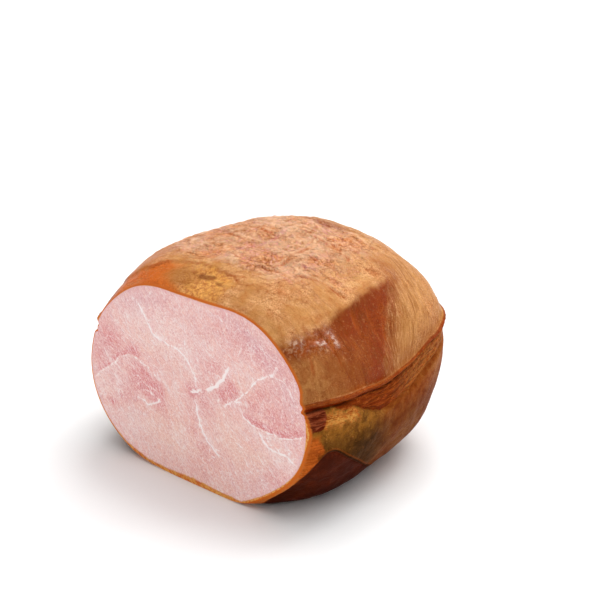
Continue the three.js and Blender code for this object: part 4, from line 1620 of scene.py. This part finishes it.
class StudioSettings(bpy.types.PropertyGroup):
    floor_colour: colour_property("Floor", "Colour of the studio floor", 252, 252, 252)
    sky: light_property("Sky", "Strength of the even white light all round", 0.06)
    overhead: light_property("Overhead light", "Strength of the soft light above", 1.2)
    front: light_property("Front light", "Strength of the soft light on the cut", 0.62)
    back_left: light_property("Back left light", "Strength of the soft light behind, left", 0.6)
    back: light_property("Back light", "Strength of the soft light behind", 1.4)
    back_right: light_property("Back right light", "Strength of the soft light behind, right", 1.1)
    glint: light_property("Glint", "Strength of the small light low on the right", 0.4)
    azimuth: bpy.props.FloatProperty(
        name="Azimuth", description="The camera's turn round the ham, from facing the cut",
        default=math.radians(39), subtype="ANGLE", unit="ROTATION")
    elevation: bpy.props.FloatProperty(
        name="Elevation", description="The camera's height as an angle over the floor",
        default=math.radians(26), subtype="ANGLE", unit="ROTATION")
    lens: bpy.props.FloatProperty(
        name="Lens", description="Focal length of the camera in millimetres", default=104.35, min=1.0)


# Operators

class HAM_OT_model(bpy.types.Operator):
    """Models the ham with its skin and cut face in place of the frame's node"""

    bl_idname = "ham.model"
    bl_label = "Ham"

    def execute(self, context):
        tones = Tones(context.scene.ham_colours)
        mesh = ham_mesh()
        mesh.materials.append(skin_material(tones))
        mesh.materials.append(cut_material(tones))
        piece = bpy.data.objects.new("smoked_ham_meat", mesh)
        context.scene.collection.objects.link(piece)
        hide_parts(NODE)
        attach(piece, BODY)
        return {"FINISHED"}


class Tones:
    """The sidebar's colours as plain tuples, for shader sockets."""

    def __init__(self, group):
        for name in group.__annotations__:
            setattr(self, name, tuple(getattr(group, name)))


class HAM_OT_stage(bpy.types.Operator):
    """Adds the floor, the lights and the camera"""

    bl_idname = "ham.stage"
    bl_label = "Studio"

    def execute(self, context):
        settings = context.scene.ham_studio
        add_floor(context.scene, tuple(settings.floor_colour))
        add_sky(context.scene, settings.sky)
        for name, aim in LIGHTS.items():
            add_sun(context.scene, name, getattr(settings, name), *aim)
        add_camera(context.scene, settings)
        context.scene.view_settings.view_transform = "Standard"
        return {"FINISHED"}


# The floor in metres: flat so far out, then rising to its rim in so many rings
FLOOR_FLAT = 6.0
FLOOR_REACH = 12.0
FLOOR_RIM = 2.2
FLOOR_RINGS = 12
FLOOR_SIDES = 96

# The soft lights, in degrees: elevation, azimuth and how broad each is
LIGHTS = {
    "overhead": (88, 0, 60),
    "front": (23, -22, 24),
    "back_left": (52, 225, 40),
    "back": (52, 190, 40),
    "back_right": (50, 150, 40),
    "glint": (16, 134, 10),
}

# The camera in metres: its distance from a point of the ham, and where that point lies in the picture
CAMERA_DISTANCE = 1.164
CAMERA_AIM = (-0.0078, -0.0212, 0.06)
AIM_PIXEL = (250.42, 360.88)
FRAME_PIXELS = 600
SENSOR = 36.0


def add_floor(scene, colour):
    """A round floor whose far rim curves up, so that low views see no edge to it."""
    points = []
    for ring in range(FLOOR_RINGS + 1):
        share = ring / FLOOR_RINGS
        radius = FLOOR_FLAT + (FLOOR_REACH - FLOOR_FLAT) * share
        for step in range(FLOOR_SIDES):
            turn = 2 * math.pi * step / FLOOR_SIDES
            points.append((radius * math.cos(turn), radius * math.sin(turn), FLOOR_RIM * share ** 2))
    faces = [tuple(range(FLOOR_SIDES))] + grid_faces(FLOOR_RINGS + 1, FLOOR_SIDES)
    mesh = bpy.data.meshes.new("studio_floor")
    mesh.from_pydata(points, [], faces)
    mesh.shade_smooth()
    mesh.materials.append(floor_material(colour))
    floor = bpy.data.objects.new("studio_floor", mesh)
    scene.collection.objects.link(floor)


def add_sky(scene, strength):
    world = bpy.data.worlds.new("studio sky")
    world.use_nodes = True
    background = world.node_tree.nodes["Background"]
    background.inputs["Color"].default_value = (1, 1, 1, 1)
    background.inputs["Strength"].default_value = strength
    scene.world = world


def add_sun(scene, name, strength, elevation, azimuth, spread):
    """A broad soft light. Azimuth 0 stands in front of the cut and 90 to its right."""
    light = bpy.data.lights.new(name, "SUN")
    light.energy = strength
    light.angle = math.radians(spread)
    lamp = bpy.data.objects.new(name, light)
    towards = way_out(math.radians(elevation), math.radians(azimuth))
    lamp.rotation_euler = towards.to_track_quat("Z", "Y").to_euler()
    scene.collection.objects.link(lamp)


def way_out(up, turn):
    """The direction from the ham towards an elevation and azimuth, in radians."""
    return Vector((math.sin(turn) * math.cos(up), -math.cos(turn) * math.cos(up), math.sin(up)))


def add_camera(scene, settings):
    back = way_out(settings.elevation, settings.azimuth)
    right = Vector((math.cos(settings.azimuth), math.sin(settings.azimuth), 0))
    above = back.cross(right)
    metres_per_pixel = CAMERA_DISTANCE * SENSOR / settings.lens / FRAME_PIXELS
    off_right = (AIM_PIXEL[0] - FRAME_PIXELS / 2) * metres_per_pixel
    off_down = (AIM_PIXEL[1] - FRAME_PIXELS / 2) * metres_per_pixel
    place = Vector(CAMERA_AIM) + back * CAMERA_DISTANCE - right * off_right + above * off_down
    lens = bpy.data.cameras.new("camera")
    lens.lens = settings.lens
    lens.sensor_width = SENSOR
    camera = bpy.data.objects.new("camera", lens)
    axes = Matrix((right, above, back)).transposed()
    camera.matrix_world = Matrix.Translation(place) @ axes.to_4x4()
    scene.collection.objects.link(camera)
    scene.camera = camera


class HAM_PT_sidebar(bpy.types.Panel):
    bl_idname = "HAM_PT_sidebar"
    bl_label = "Smoked Ham"
    bl_space_type = "VIEW_3D"
    bl_region_type = "UI"
    bl_category = "Ham"

    def draw(self, context):
        layout = self.layout
        layout.operator(HAM_OT_model.bl_idname)
        layout.operator(HAM_OT_stage.bl_idname)
        for group in (context.scene.ham_colours, context.scene.ham_studio):
            box = layout.box()
            for name in group.__annotations__:
                box.prop(group, name)


CLASSES = (HamColours, StudioSettings, HAM_OT_model, HAM_OT_stage, HAM_PT_sidebar)


def register():
    for item in CLASSES:
        bpy.utils.register_class(item)
    bpy.types.Scene.ham_colours = bpy.props.PointerProperty(type=HamColours)
    bpy.types.Scene.ham_studio = bpy.props.PointerProperty(type=StudioSettings)


def unregister():
    del bpy.types.Scene.ham_studio
    del bpy.types.Scene.ham_colours
    for item in reversed(CLASSES):
        bpy.utils.unregister_class(item)


def main():
    register()
    bpy.ops.ham.model()
    bpy.ops.ham.stage()


if __name__ == "__main__":
    main()
